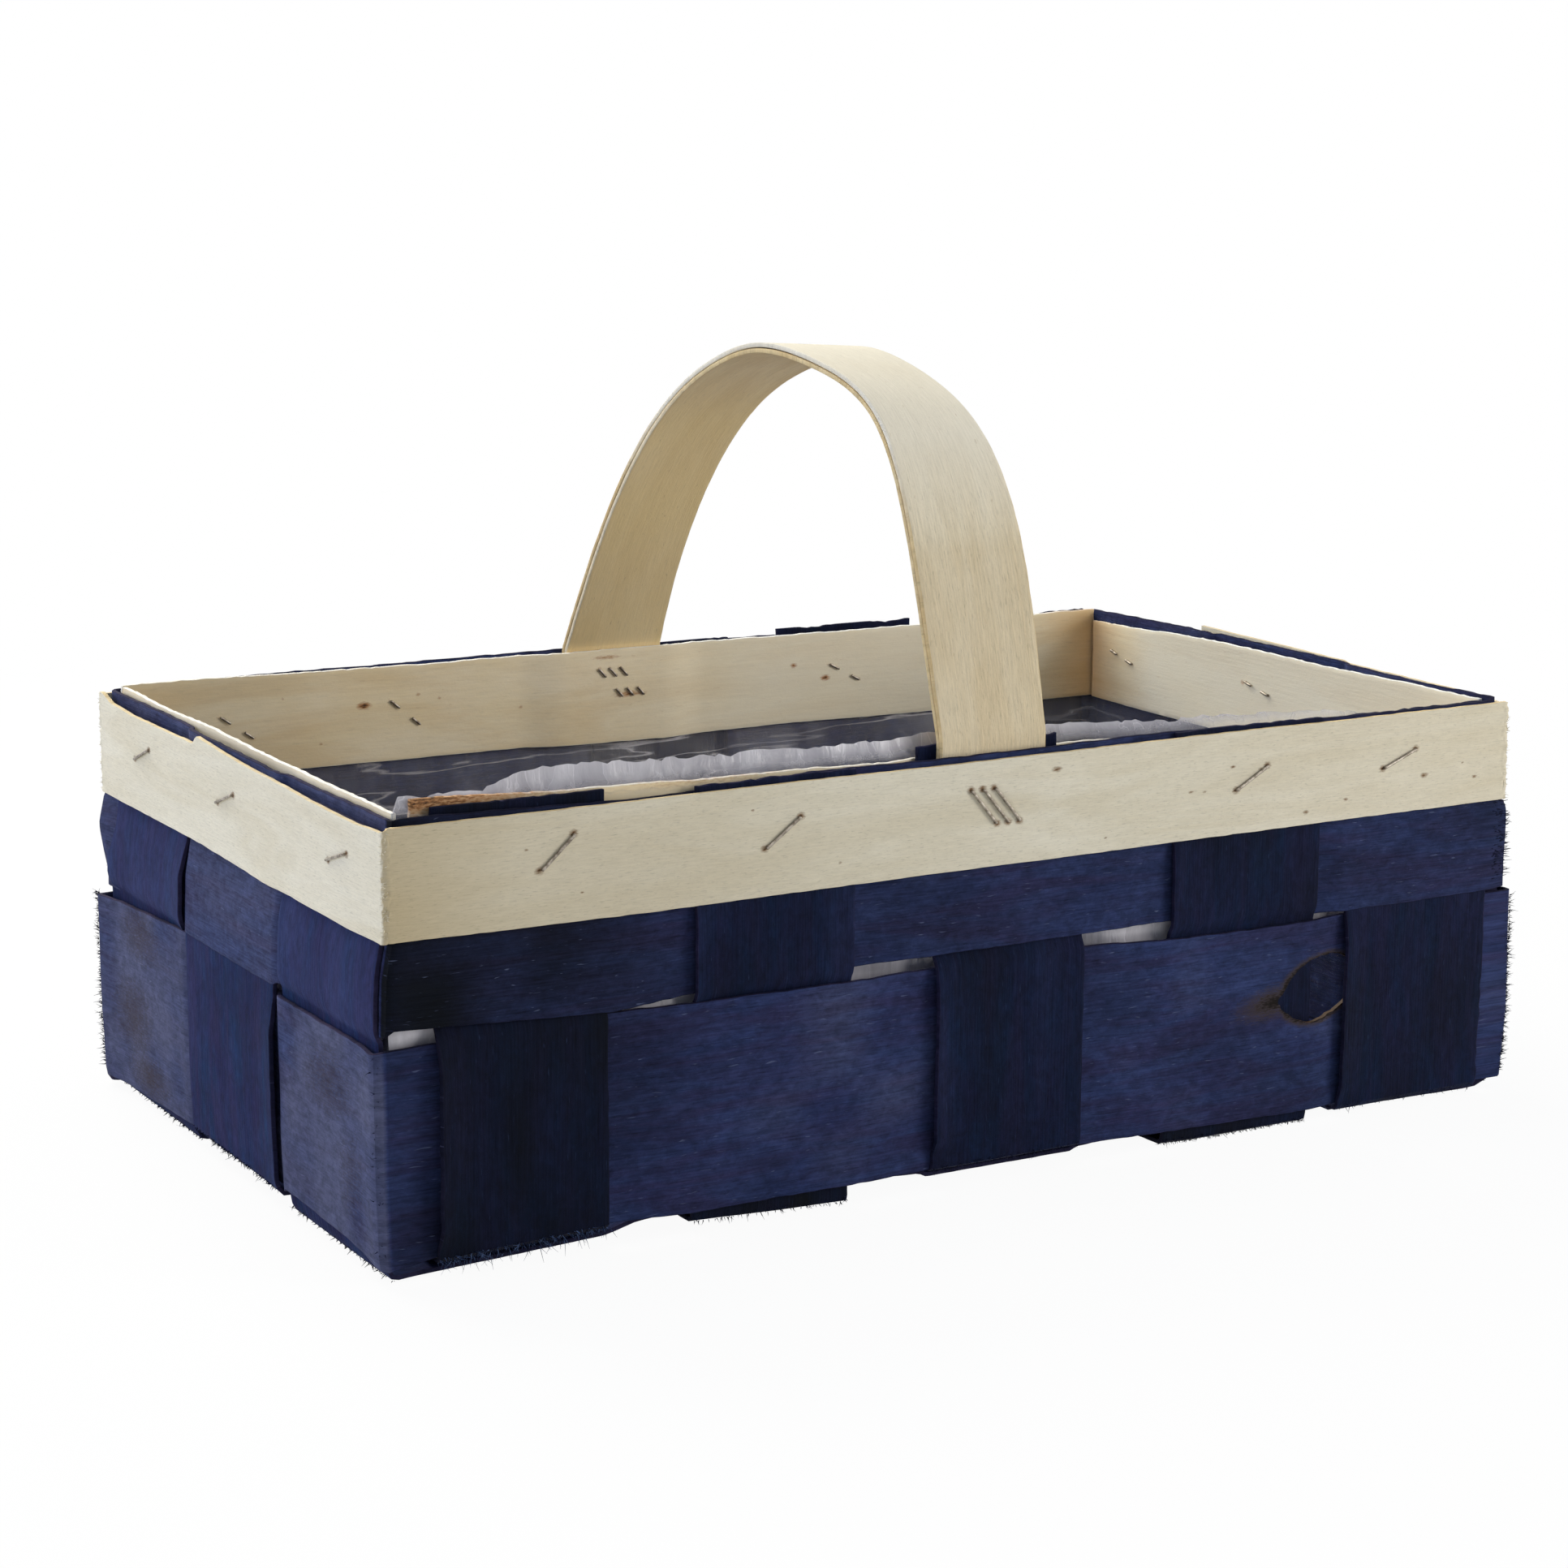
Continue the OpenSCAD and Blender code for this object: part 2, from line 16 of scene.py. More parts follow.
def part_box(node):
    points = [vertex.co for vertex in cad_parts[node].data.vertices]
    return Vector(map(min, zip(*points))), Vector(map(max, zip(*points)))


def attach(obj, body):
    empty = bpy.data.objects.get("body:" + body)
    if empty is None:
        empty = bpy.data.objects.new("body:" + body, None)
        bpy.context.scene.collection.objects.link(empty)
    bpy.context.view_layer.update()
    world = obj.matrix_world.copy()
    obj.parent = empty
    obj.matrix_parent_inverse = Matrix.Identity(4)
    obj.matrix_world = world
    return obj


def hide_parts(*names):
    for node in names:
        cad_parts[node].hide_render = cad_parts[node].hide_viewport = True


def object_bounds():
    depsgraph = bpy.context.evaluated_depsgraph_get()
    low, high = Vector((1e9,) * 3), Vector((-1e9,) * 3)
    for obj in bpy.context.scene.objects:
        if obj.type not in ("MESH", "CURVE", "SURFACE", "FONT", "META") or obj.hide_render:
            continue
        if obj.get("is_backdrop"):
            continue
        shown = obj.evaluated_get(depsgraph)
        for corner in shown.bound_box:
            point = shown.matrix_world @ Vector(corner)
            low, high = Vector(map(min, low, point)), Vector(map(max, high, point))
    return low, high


MM = 0.001
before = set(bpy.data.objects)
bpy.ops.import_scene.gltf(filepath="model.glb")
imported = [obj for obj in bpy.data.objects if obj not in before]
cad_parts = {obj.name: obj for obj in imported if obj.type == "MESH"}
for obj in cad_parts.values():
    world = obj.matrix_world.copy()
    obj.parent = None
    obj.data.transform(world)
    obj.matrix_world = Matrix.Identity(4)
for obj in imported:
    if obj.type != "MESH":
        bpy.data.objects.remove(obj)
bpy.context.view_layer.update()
bpy.context.scene.view_settings.view_transform = "Standard"


def box(node):
    """Lowest and highest corner of a frame node, in millimetres."""
    low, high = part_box(node)
    return np.array(low) / MM, np.array(high) / MM


def levels(node):
    """Lower and upper edge of a frame node, in millimetres."""
    return [corner[2] for corner in box(node)]


# %% [markdown]
# The camera comes first, because it tells how much of each piece is seen. It stands to the left
# of the basket's front, looks down a little and has a long lens, which keeps the edges parallel.

# %% Camera
LENS = 77.8
SENSOR = 36
AZIMUTH = math.radians(-30.046)
ELEVATION = math.radians(11.499)
ROLL = math.radians(0.374)
DISTANCE = 836.6 * MM
TARGET = Vector((-5.1, 0.0, 78.4)) * MM

back = Vector((math.sin(AZIMUTH) * math.cos(ELEVATION), -math.cos(AZIMUTH) * math.cos(ELEVATION),
               math.sin(ELEVATION)))
level = Vector((math.cos(AZIMUTH), math.sin(AZIMUTH), 0))
rise = back.cross(level)
right = level * math.cos(ROLL) + rise * math.sin(ROLL)
up = rise * math.cos(ROLL) - level * math.sin(ROLL)
bpy.ops.object.camera_add(location=TARGET + back * DISTANCE,
                          rotation=Matrix((right, up, back)).transposed().to_euler())
camera = bpy.context.object
camera.name = "photo_camera"
camera.data.lens = LENS
camera.data.sensor_width = SENSOR
bpy.context.scene.camera = camera
print("camera at", [round(x, 3) for x in camera.location])

# %% [markdown]
# All sizes of the strips come from the frame, so that each piece lies where its solid lies. The
# layers of the wall are a fixed step apart: a strip runs half a step outside or inside the
# wall's middle, the outer band lies one and a half steps outside. A step is the thickness of
# the wood and a small gap.

# %% Sizes from the frame
low, high = box("inner_rim_left")
VENEER = high[0] - low[0]
GAP = 0.1
STEP = VENEER + GAP
LAY = STEP / 2
WALL_X = box("long_strip_front")[1][0] - LAY - VENEER / 2
WALL_Y = box("cross_strip_1")[1][1] - LAY - VENEER / 2
BAND_DEPTH = LAY + STEP
FILM_DEPTH = -(LAY + VENEER / 2 + 2 * GAP)
INNER_DEPTH = FILM_DEPTH - 2 * GAP - VENEER / 2
BEND_R = 1.2
FOLD_R = 0.55
SHEET = 1.06
CROSS = [box(f"cross_strip_{k + 1}") for k in range(5)]
CROSS_LOW = [c[0][0] for c in CROSS]
CROSS_HIGH = [c[1][0] for c in CROSS]
LONG = [box(f"long_strip_{name}") for name in ("front", "middle", "back")]
LONG_LOW = [c[0][1] for c in LONG]
LONG_HIGH = [c[1][1] for c in LONG]
LOWER_LOW, LOWER_TOP = levels("lower_weaver")
UPPER_LOW, WALL_TOP = levels("upper_weaver")
BAND_LOW, BAND_TOP = levels("outer_rim_band")
INNER_LOW, INNER_TOP = levels("inner_rim_back")
TONGUE_LOW = levels("handle_outer_ply")[0]
CORNER_X, CORNER_Y = 148, 86
HANDLE_STACK = 2 * STEP
FLOOR_MID = LAY + VENEER / 2
print(f"walls at {WALL_X:.2f} and {WALL_Y:.2f} mm, weavers {LOWER_LOW:.1f} to {LOWER_TOP:.1f}"
      f" and {UPPER_LOW:.1f} to {WALL_TOP:.1f}, band top {BAND_TOP:.1f}")

# %% [markdown]
# Wood that is peeled from a log has long fibres. Every strip shows them, so the figure is one
# node group that all the wood materials share: fine lines along the strip, two kinds of soft
# cloud, short dashes, pale flecks, a fine mottle, and a height for the bump. It reads the
# strip's own flat map in metres, so the grain turns with each fold and doesn't run through it.

# %% Shader helpers


def paint(r, g, b):
    """A colour of the screen, 0 to 255, as the linear colour that a shader takes."""
    share = np.array([r, g, b]) / 255
    line = np.where(share <= 0.04045, share / 12.92, ((share + 0.055) / 1.055) ** 2.4)
    return (*[float(x) for x in line], 1.0)


def feed(tree, socket, value):
    """Links a socket to another one, or sets it to a value."""
    if isinstance(value, bpy.types.NodeSocket):
        tree.links.new(value, socket)
    else:
        socket.default_value = value


def add(tree, kind, inputs=None, **settings):
    """A node with its settings, and its inputs linked or set by name."""
    made = tree.nodes.new(kind)
    for name, value in settings.items():
        setattr(made, name, value)
    for name, value in (inputs or {}).items():
        feed(tree, made.inputs[name], value)
    return made


def mix(tree, share, first, second):
    """The colour between two colours."""
    made = add(tree, "ShaderNodeMix", data_type="RGBA")
    for place, value in ((0, share), (6, first), (7, second)):
        feed(tree, made.inputs[place], value)
    return made.outputs[2]


def maths(tree, way, first, second):
    return add(tree, "ShaderNodeMath", {0: first, 1: second}, operation=way).outputs[0]


def ramp(tree, value, low, high, start=0.0, end=1.0):
    """A value turned from one range into another, and held inside it."""
    made = add(tree, "ShaderNodeMapRange", {"Value": value, "From Min": low, "From Max": high,
                                            "To Min": start, "To Max": end})
    return made.outputs["Result"]


def noise(tree, vector, detail=2.0, roughness=0.5, distortion=0.0, scale=1.0):
    made = add(tree, "ShaderNodeTexNoise", {"Vector": vector, "Scale": scale, "Detail": detail,
                                            "Roughness": roughness, "Distortion": distortion})
    return made.outputs["Fac"]


def stretched(tree, vector, along, across, shift=0.0):
    """The flat map scaled by two values, so that a pattern is long in one direction."""
    scale = add(tree, "ShaderNodeCombineXYZ", {"X": along, "Y": across, "Z": 1.0})
    moved = add(tree, "ShaderNodeVectorMath", {0: vector, 1: (shift, shift * 0.7, 0)})
    made = add(tree, "ShaderNodeVectorMath", {0: moved.outputs[0], 1: scale.outputs[0]},
               operation="MULTIPLY")
    return made.outputs[0]


def tone_down(tree, colour, factor):
    return add(tree, "ShaderNodeVectorMath", {0: colour, "Scale": factor},
               operation="SCALE").outputs[0]


print("cream as a shader takes it:", [round(share, 2) for share in paint(222, 215, 194)])

# %% Materials and groups


def own_place(tree):
    """The place on the piece itself, so that a pattern moves with it."""
    return add(tree, "ShaderNodeTexCoord").outputs["Object"]


def attribute(tree, name):
    """The values that the mesh carries under a name."""
    return add(tree, "ShaderNodeAttribute", attribute_name=name).outputs["Fac"]


def relief(tree, height, strength, distance):
    """The normal of a surface with a small relief."""
    return add(tree, "ShaderNodeBump", {"Strength": strength, "Distance": distance,
                                        "Height": height}).outputs["Normal"]


def new_material(name):
    """A material with its node tree and its one shader."""
    material = bpy.data.materials.new(name)
    material.use_nodes = True
    return material, material.node_tree, material.node_tree.nodes["Principled BSDF"]


def dress(tree, shader, looks):
    """Links or sets the shader's own sockets by name."""
    for socket, value in looks.items():
        feed(tree, shader.inputs[socket], value)


def new_group(name, inputs, outputs):
    """A node group with its named sockets, and its two end nodes."""
    group = bpy.data.node_groups.new(name, "ShaderNodeTree")
    for title, kind, value in inputs:
        socket = group.interface.new_socket(title, in_out="INPUT", socket_type=kind)
        if value is not None:
            socket.default_value = value
    for title, kind in outputs:
        group.interface.new_socket(title, in_out="OUTPUT", socket_type=kind)
    return group, add(group, "NodeGroupInput"), add(group, "NodeGroupOutput")


FLOAT, VECTOR, COLOR = "NodeSocketFloat", "NodeSocketVector", "NodeSocketColor"
print("shader helpers ready")

# %% Node groups of the wood


def build_figure():
    """Fibres, clouds, dashes, flecks and mottle of peeled wood, on the strip's flat map."""
    outputs = ("Lines", "Cloud", "Second", "Dash", "Fleck", "Mottle", "Height")
    tree, start, end = new_group(
        "wood_figure", [("Map", VECTOR, None), ("Along", FLOAT, 110.0), ("Across", FLOAT, 1900.0),
                        ("Cloud", FLOAT, 60.0)], [(name, FLOAT) for name in outputs])
    flat, along, across, cloud = (start.outputs[i] for i in range(4))

    def times(value, factor):
        return maths(tree, "MULTIPLY", value, factor)

    def pattern(x, y, shift, detail, rough, distortion=0.0):
        """Noise with x and y waves in a metre along and across the strip."""
        return noise(tree, stretched(tree, flat, x, y, shift), detail, rough, distortion)

    lines = pattern(along, across, 0.0, 5.0, 0.6, 0.2)
    dash = pattern(times(along, 3.0), times(across, 1.5), 2.9, 2.0, 0.5, 0.4)
    grit = pattern(1300.0, 1700.0, 0.0, 2.0, 0.6)
    masks = {"Lines": (lines, 0.3, 0.7),
             "Cloud": (pattern(cloud, times(cloud, 1.9), 0.0, 6.0, 0.62, 0.5), 0.38, 0.62),
             "Second": (pattern(times(cloud, 0.45), times(cloud, 3.0), 7.3, 5.0, 0.62, 0.9),
                        0.42, 0.62),
             "Dash": (dash, 0.58, 0.72),
             "Fleck": (pattern(times(along, 4.5), times(across, 0.9), 5.1, 1.0, 0.4, 0.5),
                       0.71, 0.8),
             "Mottle": (pattern(260.0, 430.0, 4.7, 5.0, 0.72, 0.4), 0.34, 0.66)}
    for name, (value, low, high) in masks.items():
        feed(tree, end.inputs[name], ramp(tree, value, low, high))
    feed(tree, end.inputs["Height"],
         maths(tree, "SUBTRACT", maths(tree, "ADD", lines, times(grit, 0.5)), times(dash, 0.3)))
    return tree


def build_soil():
    """Marks where a mask says so, broken up by noise so that no edge is even."""
    tree, start, end = new_group("wood_soil", [("Color", COLOR, None), ("Map", VECTOR, None),
                                               ("Mask", FLOAT, 0.0), ("Halo", COLOR, None),
                                               ("Core", COLOR, None)], [("Color", COLOR)])
    clean, flat, mask, halo, core = (start.outputs[i] for i in range(5))
    grit = noise(tree, stretched(tree, flat, 700.0, 2400.0), 3.0, 0.6)
    broken = maths(tree, "ADD", ramp(tree, grit, 0.25, 0.75, -0.25, 0.25), mask)
    marked = mix(tree, ramp(tree, broken, 0.1, 0.7), clean, halo)
    marked = mix(tree, ramp(tree, broken, 0.62, 0.9), marked, core)
    feed(tree, end.inputs["Color"], mix(tree, ramp(tree, mask, 0.02, 0.15), clean, marked))
    return tree


FIGURE = build_figure()
SOIL = build_soil()
print("node groups:", FIGURE.name, SOIL.name)

# %% [markdown]
# The dye sinks in unevenly: it leaves nearly black stakes, and weavers with violet and bluish
# clouds and pale fibres that took no colour. Natural wood is the same figure in cream, with
# much less contrast. So one function makes every wood, and each call gives its own colours.
# Two attributes of the mesh steer it. "tone" goes from -1, deep, to 1, worn, where the wood is
# greyer and more speckled than lined. On some pieces the tone is painted light: low values are
# painted shade and high values a painted highlight. "stain" says where iron or resin has left a
# brown mark.

# %% Wood materials
MAP = "flat_map"


def wood(name, body, cloud, second, deep, worn, fleck, shares, lines=(0.85, 1.15),
         grain=(110.0, 1900.0), cloud_size=60.0, roughness=0.7, bump=0.3, specular=0.3,
         halo=(120, 88, 54), core=(52, 38, 28)):
    """A wood of six colours. shares are those of cloud, second, dash, fleck and mottle."""
    material, tree, shader = new_material(name)
    flat = add(tree, "ShaderNodeUVMap", uv_map=MAP).outputs[0]
    figure = add(tree, "ShaderNodeGroup", {"Map": flat, "Along": grain[0], "Across": grain[1],
                                           "Cloud": cloud_size}, node_tree=FIGURE).outputs

    def part(output, share):
        return maths(tree, "MULTIPLY", figure[output], share)

    tone, stain = attribute(tree, "tone"), attribute(tree, "stain")
    colour = mix(tree, part("Cloud", shares[0]), paint(*body), paint(*cloud))
    colour = mix(tree, part("Second", shares[1]), colour, paint(*second))
    # Below zero the tone mixes in the deep colour, above zero the worn one. Besides deep dye and
    # real wear, these also paint shade at the stakes' feet, the outer band's front and the back
    # right inner corner, and a painted highlight on the handle's crown.
    colour = mix(tree, ramp(tree, tone, 0.0, -1.0), colour, paint(*deep))
    colour = mix(tree, ramp(tree, tone, 0.0, 1.0, 0.0, 0.85), colour, paint(*worn))
    lined = maths(tree, "SUBTRACT", ramp(tree, figure["Lines"], 0.0, 1.0, *lines),
                  part("Dash", shares[2]))
    lined = maths(tree, "ADD", ramp(tree, tone, 0.2, 0.8, 0.0, 0.56),
                  maths(tree, "MULTIPLY", lined, ramp(tree, tone, 0.2, 0.8, 1.0, 0.4)))
    speckle = ramp(tree, figure["Mottle"], 0.0, 1.0, 1.0 - shares[4], 1.0 + shares[4])
    colour = tone_down(tree, colour, maths(tree, "MULTIPLY", lined, speckle))
    colour = mix(tree, part("Fleck", shares[3]), colour, paint(*fleck))
    soiled = add(tree, "ShaderNodeGroup", {"Color": colour, "Map": flat, "Mask": stain,
                                           "Halo": paint(*halo), "Core": paint(*core)},
                 node_tree=SOIL)
    dress(tree, shader, {
        "Base Color": soiled.outputs["Color"],
        "Roughness": ramp(tree, figure["Lines"], 0.0, 1.0, roughness + 0.08, roughness - 0.08),
        "Specular IOR Level": specular,
        "Normal": relief(tree, figure["Height"], bump, 0.0004)})
    return material


print("one function for every wood, on the map called", MAP)

# %% Colours of the woods
DYED = {"specular": 0.08, "halo": (61, 53, 54), "core": (24, 20, 18)}
STAKE = wood("dyed_stake", (15, 21, 46), (12, 27, 53), (23, 25, 51), (5, 8, 15), (50, 58, 92),
             (60, 76, 112), (0.85, 0.8, 0.3, 0.2, 0.3), (0.8, 1.2), (60.0, 2300.0), 46.0,
             roughness=0.8, bump=0.35, **DYED)
STAKE_SIDE = wood("dyed_stake_side", (20, 27, 67), (18, 44, 82), (34, 32, 70), (10, 15, 44),
                  (54, 60, 102), (70, 92, 132), (0.9, 0.8, 0.25, 0.2, 0.26), (0.84, 1.16),
                  (80.0, 2200.0), 50.0, roughness=0.8, bump=0.3, **DYED)
WEAVER = wood("dyed_weaver", (40, 50, 87), (56, 68, 109), (45, 43, 75), (6, 10, 18), (84, 88, 115),
              (112, 122, 154), (0.5, 0.75, 0.4, 0.35, 0.3), (0.76, 1.2), (70.0, 2100.0), 50.0,
              roughness=0.8, bump=0.35, **DYED)
BAND = wood("natural_band", (222, 215, 194), (230, 223, 203), (212, 202, 176), (190, 174, 140),
            (238, 234, 220), (176, 160, 126), (0.6, 0.7, 0.2, 0.25, 0.02), (0.94, 1.06),
            (200.0, 2600.0), 28.0, bump=0.25)
INNER_BAND = wood("natural_inner_band", (247, 229, 190), (251, 236, 204), (236, 212, 168),
                  (224, 176, 106), (255, 250, 230), (196, 164, 116), (0.8, 0.7, 0.06, 0.2, 0.012),
                  (0.97, 1.03), (90.0, 1200.0), 34.0, bump=0.15, halo=(178, 122, 72))
HANDLE = wood("natural_handle", (222, 208, 177), (232, 220, 193), (212, 193, 156), (200, 174, 128),
              (244, 236, 216), (176, 148, 104), (0.6, 0.6, 0.2, 0.3, 0.015), (0.9, 1.1),
              (130.0, 2000.0), 30.0, bump=0.45)
HANDLE_IN = wood("natural_handle_inside", (238, 216, 176), (244, 226, 190), (224, 198, 152),
                 (206, 172, 118), (255, 229, 164), (150, 110, 66), (0.6, 0.6, 0.1, 0.3, 0.015),
                 (0.95, 1.05), (110.0, 1900.0), 34.0, bump=0.3)
PALE_CUT = wood("natural_cut", (224, 200, 150), (236, 218, 176), (206, 176, 122), (190, 160, 110),
                (244, 240, 226), (190, 165, 120), (0.5, 0.5, 0.2, 0.3, 0.06), (0.9, 1.1),
                (400.0, 400.0), 200.0, bump=0.5)
BRIGHT_CUT = wood("inner_cut", (250, 244, 230), (255, 250, 240), (240, 226, 196), (214, 168, 104),
                  (255, 255, 250), (230, 200, 150), (0.5, 0.4, 0.1, 0.2, 0.05), (0.94, 1.06),
                  (400.0, 400.0), 200.0, bump=0.5, halo=(206, 150, 92))
DARK_CUT = wood("dyed_cut", (16, 20, 42), (30, 32, 60), (44, 40, 66), (8, 10, 22), (62, 56, 84),
                (84, 84, 116), (0.6, 0.5, 0.2, 0.3, 0.2), (0.8, 1.2), (500.0, 500.0), 200.0,
                bump=0.5, roughness=0.8, **DYED)
KNOT = wood("knot_rim", (44, 38, 32), (78, 66, 46), (56, 50, 44), (30, 24, 20), (84, 74, 60),
            (120, 104, 76), (0.6, 0.5, 0.3, 0.4, 0.2), (0.7, 1.2), (400.0, 900.0), 200.0, bump=0.8)
print("woods:", [m.name for m in bpy.data.materials if "dyed" in m.name or "natural" in m.name])

# %% [markdown]
# A strip is cut flat: its x is the way along, its y the place across, both in millimetres. The
# outline comes from functions, so a hand-cut edge can wander, and a lift gives the soft waves
# that thin wood has. Solidify then gives the sheet its thickness and a second material for the
# cut edge, and a narrow bevel takes the sharpness off.

# %% Random lines and hills
HILLS = 64


def hills(seed, u, v=0.0):
    """Soft random heights from -1 to 1, one hill for each unit of u and v."""
    table = np.random.default_rng(seed).uniform(-1, 1, (HILLS, HILLS))
    u, v = np.broadcast_arrays(np.asarray(u, float), np.asarray(v, float))
    i, j = np.floor(u).astype(int), np.floor(v).astype(int)
    s, t = u - i, v - j
    s, t = s * s * (3 - 2 * s), t * t * (3 - 2 * t)
    near = table[i % HILLS, j % HILLS] * (1 - s) + table[(i + 1) % HILLS, j % HILLS] * s
    far = table[i % HILLS, (j + 1) % HILLS] * (1 - s) + table[(i + 1) % HILLS, (j + 1) % HILLS] * s
    return near * (1 - t) + far * t


def hand_cut(seed, size=0.25, slow=45.0, fine=2.5):
    """How far a cut edge wanders, as a function of the way along it."""
    return lambda s: size * (hills(seed, s / slow) + 0.45 * hills(seed + 1, s / fine))


def grow(value, start, span):
    """0 up to a start, then evenly up to 1 over a span."""
    return np.clip((value - start) / span, 0, 1)


def fade(value, end, span):
    """1 far before an end, evenly down to 0 there over a span."""
    return np.clip((end - value) / span, 0, 1)


def nearness(distance, reach=1.0):
    """1 at no distance, evenly down to 0 at a reach."""
    return np.clip(1 - distance / reach, 0, 1)


def listed(place, points):
    """The value at a place, between the points of a short list."""
    places, values = zip(*points)
    return np.interp(place, places, values)


print("hills at 0.5:", round(float(hills(1, 0.5)), 3))

# %% Mesh tools


def deselect():
    if bpy.context.mode != "OBJECT":
        bpy.ops.object.mode_set(mode="OBJECT")
    bpy.ops.object.select_all(action="DESELECT")


def pick(piece):
    deselect()
    piece.select_set(True)
    bpy.context.view_layer.objects.active = piece


def places(piece):
    """The vertices of a mesh as rows of x, y and z."""
    rows = np.zeros(len(piece.data.vertices) * 3)
    piece.data.vertices.foreach_get("co", rows)
    return rows.reshape(-1, 3)


def move(piece, rows):
    piece.data.vertices.foreach_set("co", np.asarray(rows, float).ravel())
    piece.data.update()


def mark(piece, name, values):
    """Sets an attribute of a mesh to one value for each vertex."""
    layer = piece.data.attributes.get(name) or piece.data.attributes.new(name, "FLOAT", "POINT")
    layer.data.foreach_set("value", np.asarray(values).astype(np.float32))


def apply_modifier(piece, kind, **settings):
    pick(piece)
    modifier = piece.modifiers.new(kind.title(), kind)
    for name, value in settings.items():
        setattr(modifier, name, value)
    bpy.ops.object.modifier_apply(modifier=modifier.name)


def face_outwards():
    """Turns all faces of the mesh in edit mode outwards and leaves that mode."""
    bpy.ops.mesh.select_all(action="SELECT")
    bpy.ops.mesh.normals_make_consistent(inside=False)
    bpy.ops.object.mode_set(mode="OBJECT")


print("mesh tools ready")

# %% Cut a flat strip


def flat_sheet(name, length, low, high, pitch, lift=None, ends=None, shift=(0.0, 0.0)):
    """A grid cut to an outline. low and high give its long edges, ends its two short ones."""
    ways = np.linspace(0, length, 50)
    width = float(np.max(high(ways) - low(ways)))
    deselect()
    bpy.ops.mesh.primitive_grid_add(x_subdivisions=max(2, int(length / pitch)),
                                    y_subdivisions=max(2, int(width / pitch)), size=1)
    piece = bpy.context.object
    piece.name = piece.data.name = name
    rows = places(piece)
    s = (rows[:, 0] + 0.5) * length
    v = rows[:, 1] + 0.5
    if ends is not None:
        s = (s + nearness(s, 3 * pitch) * ends[0](v * width)
             + nearness(length - s, 3 * pitch) * ends[1](v * width))
    y = low(s) + (high(s) - low(s)) * v
    z = np.zeros_like(s) if lift is None else lift(s, y, v)
    move(piece, np.stack([s, y, z], 1))
    flat = piece.data.uv_layers[0]
    flat.name = MAP
    corner = np.zeros(len(piece.data.loops), int)
    piece.data.loops.foreach_get("vertex_index", corner)
    spots = np.stack([s, y], 1)[corner] * MM + np.array(shift)
    flat.uv.foreach_set("vector", spots.astype(np.float32).ravel())
    mark(piece, "stain", np.zeros(len(rows)))
    return piece


print("a strip is a grid cut to its outline")

# %% Refine, stain and thicken


def refine(piece, near, cuts=3):
    """Splits the faces whose middle lies near something, so that small marks have vertices."""
    centres = np.zeros(len(piece.data.polygons) * 3)
    piece.data.polygons.foreach_get("center", centres)
    centres = centres.reshape(-1, 3)
    pick(piece)
    bpy.ops.object.mode_set(mode="EDIT")
    bpy.ops.mesh.select_mode(type="FACE")
    bpy.ops.mesh.select_all(action="DESELECT")
    bpy.ops.object.mode_set(mode="OBJECT")
    piece.data.polygons.foreach_set("select", near(centres[:, 0], centres[:, 1]))
    bpy.ops.object.mode_set(mode="EDIT")
    bpy.ops.mesh.subdivide(number_cuts=cuts)
    bpy.ops.object.mode_set(mode="OBJECT")


def stain_round(piece, spots, power=1.0):
    """Adds to the stain near each spot. A spot is x, y, its two radii and its strength."""
    rows = places(piece)
    stain = np.zeros(len(rows), np.float32)
    piece.data.attributes["stain"].data.foreach_get("value", stain)
    for x, y, wide, tall, strength in spots:
        far = np.hypot((rows[:, 0] - x) / wide, (rows[:, 1] - y) / tall)
        stain = np.maximum(stain, strength * nearness(far) ** power)
    mark(piece, "stain", stain)


def thicken(piece, thickness, face, cut, bevel=0.14):
    """Thickness on both sides of the sheet, with the cut edge in its own material."""
    piece.data.materials.clear()
    piece.data.materials.append(face)
    piece.data.materials.append(cut)
    apply_modifier(piece, "SOLIDIFY", thickness=thickness, offset=0, use_even_offset=False,
                   material_offset_rim=1)
    apply_modifier(piece, "BEVEL", width=bevel, segments=2, limit_method="ANGLE",
                   angle_limit=math.radians(60), material=1, loop_slide=False)
    return piece


print("cutting tools ready")

# %% [markdown]
# Folding a strip by hand means bending it over the edge of the bottom and easing it over and
# under its neighbours. Here a route is a list of stations, each a point with its outward
# direction. Between two stations that face the same way the strip changes its layer in a soft
# S, and a fold is an arc. The finished flat strip is then laid on the route point by point.

# %% Stations and lines


def fold_arc(corner, before, after, radius, steps=9):
    """Stations of a fold that turns from one outward direction to the next."""
    corner, before, after = (np.array(x, float) for x in (corner, before, after))
    turns = np.linspace(0, math.pi / 2, steps)
    ways = [before * math.cos(t) + after * math.sin(t) for t in turns]
    return [(corner + (way - before - after) * radius, way) for way in ways]


def station(point, way):
    return (np.array(point, float), np.array(way, float))


class Line:
    """A smooth line through points, with its length and its outward direction."""

    def __init__(self, points, outward):
        self.points = np.array(points)
        steps = np.linalg.norm(np.diff(self.points, axis=0), axis=1)
        self.way = np.concatenate([[0], np.cumsum(steps)])
        self.length = float(self.way[-1])
        ahead = np.gradient(self.points, axis=0)
        ahead /= np.linalg.norm(ahead, axis=1)[:, None]
        side = np.stack([-ahead[:, 1], ahead[:, 0]], 1)
        self.out = side * (1.0 if side[0] @ outward > 0 else -1.0)

    def at(self, s):
        """Points and outward directions at some ways along the line."""
        point = np.stack([np.interp(s, self.way, self.points[:, i]) for i in (0, 1)], -1)
        out = np.stack([np.interp(s, self.way, self.out[:, i]) for i in (0, 1)], -1)
        return point, out / np.linalg.norm(out, axis=-1, keepdims=True)

    def nearest(self, point, last=False):
        """The way along the line at the point that lies nearest to a place."""
        gap = np.linalg.norm(self.points - np.array(point), axis=1)
        found = np.flatnonzero(gap < gap.min() + 1.6)
        return float(self.way[found[-1] if last else np.argmin(gap)])


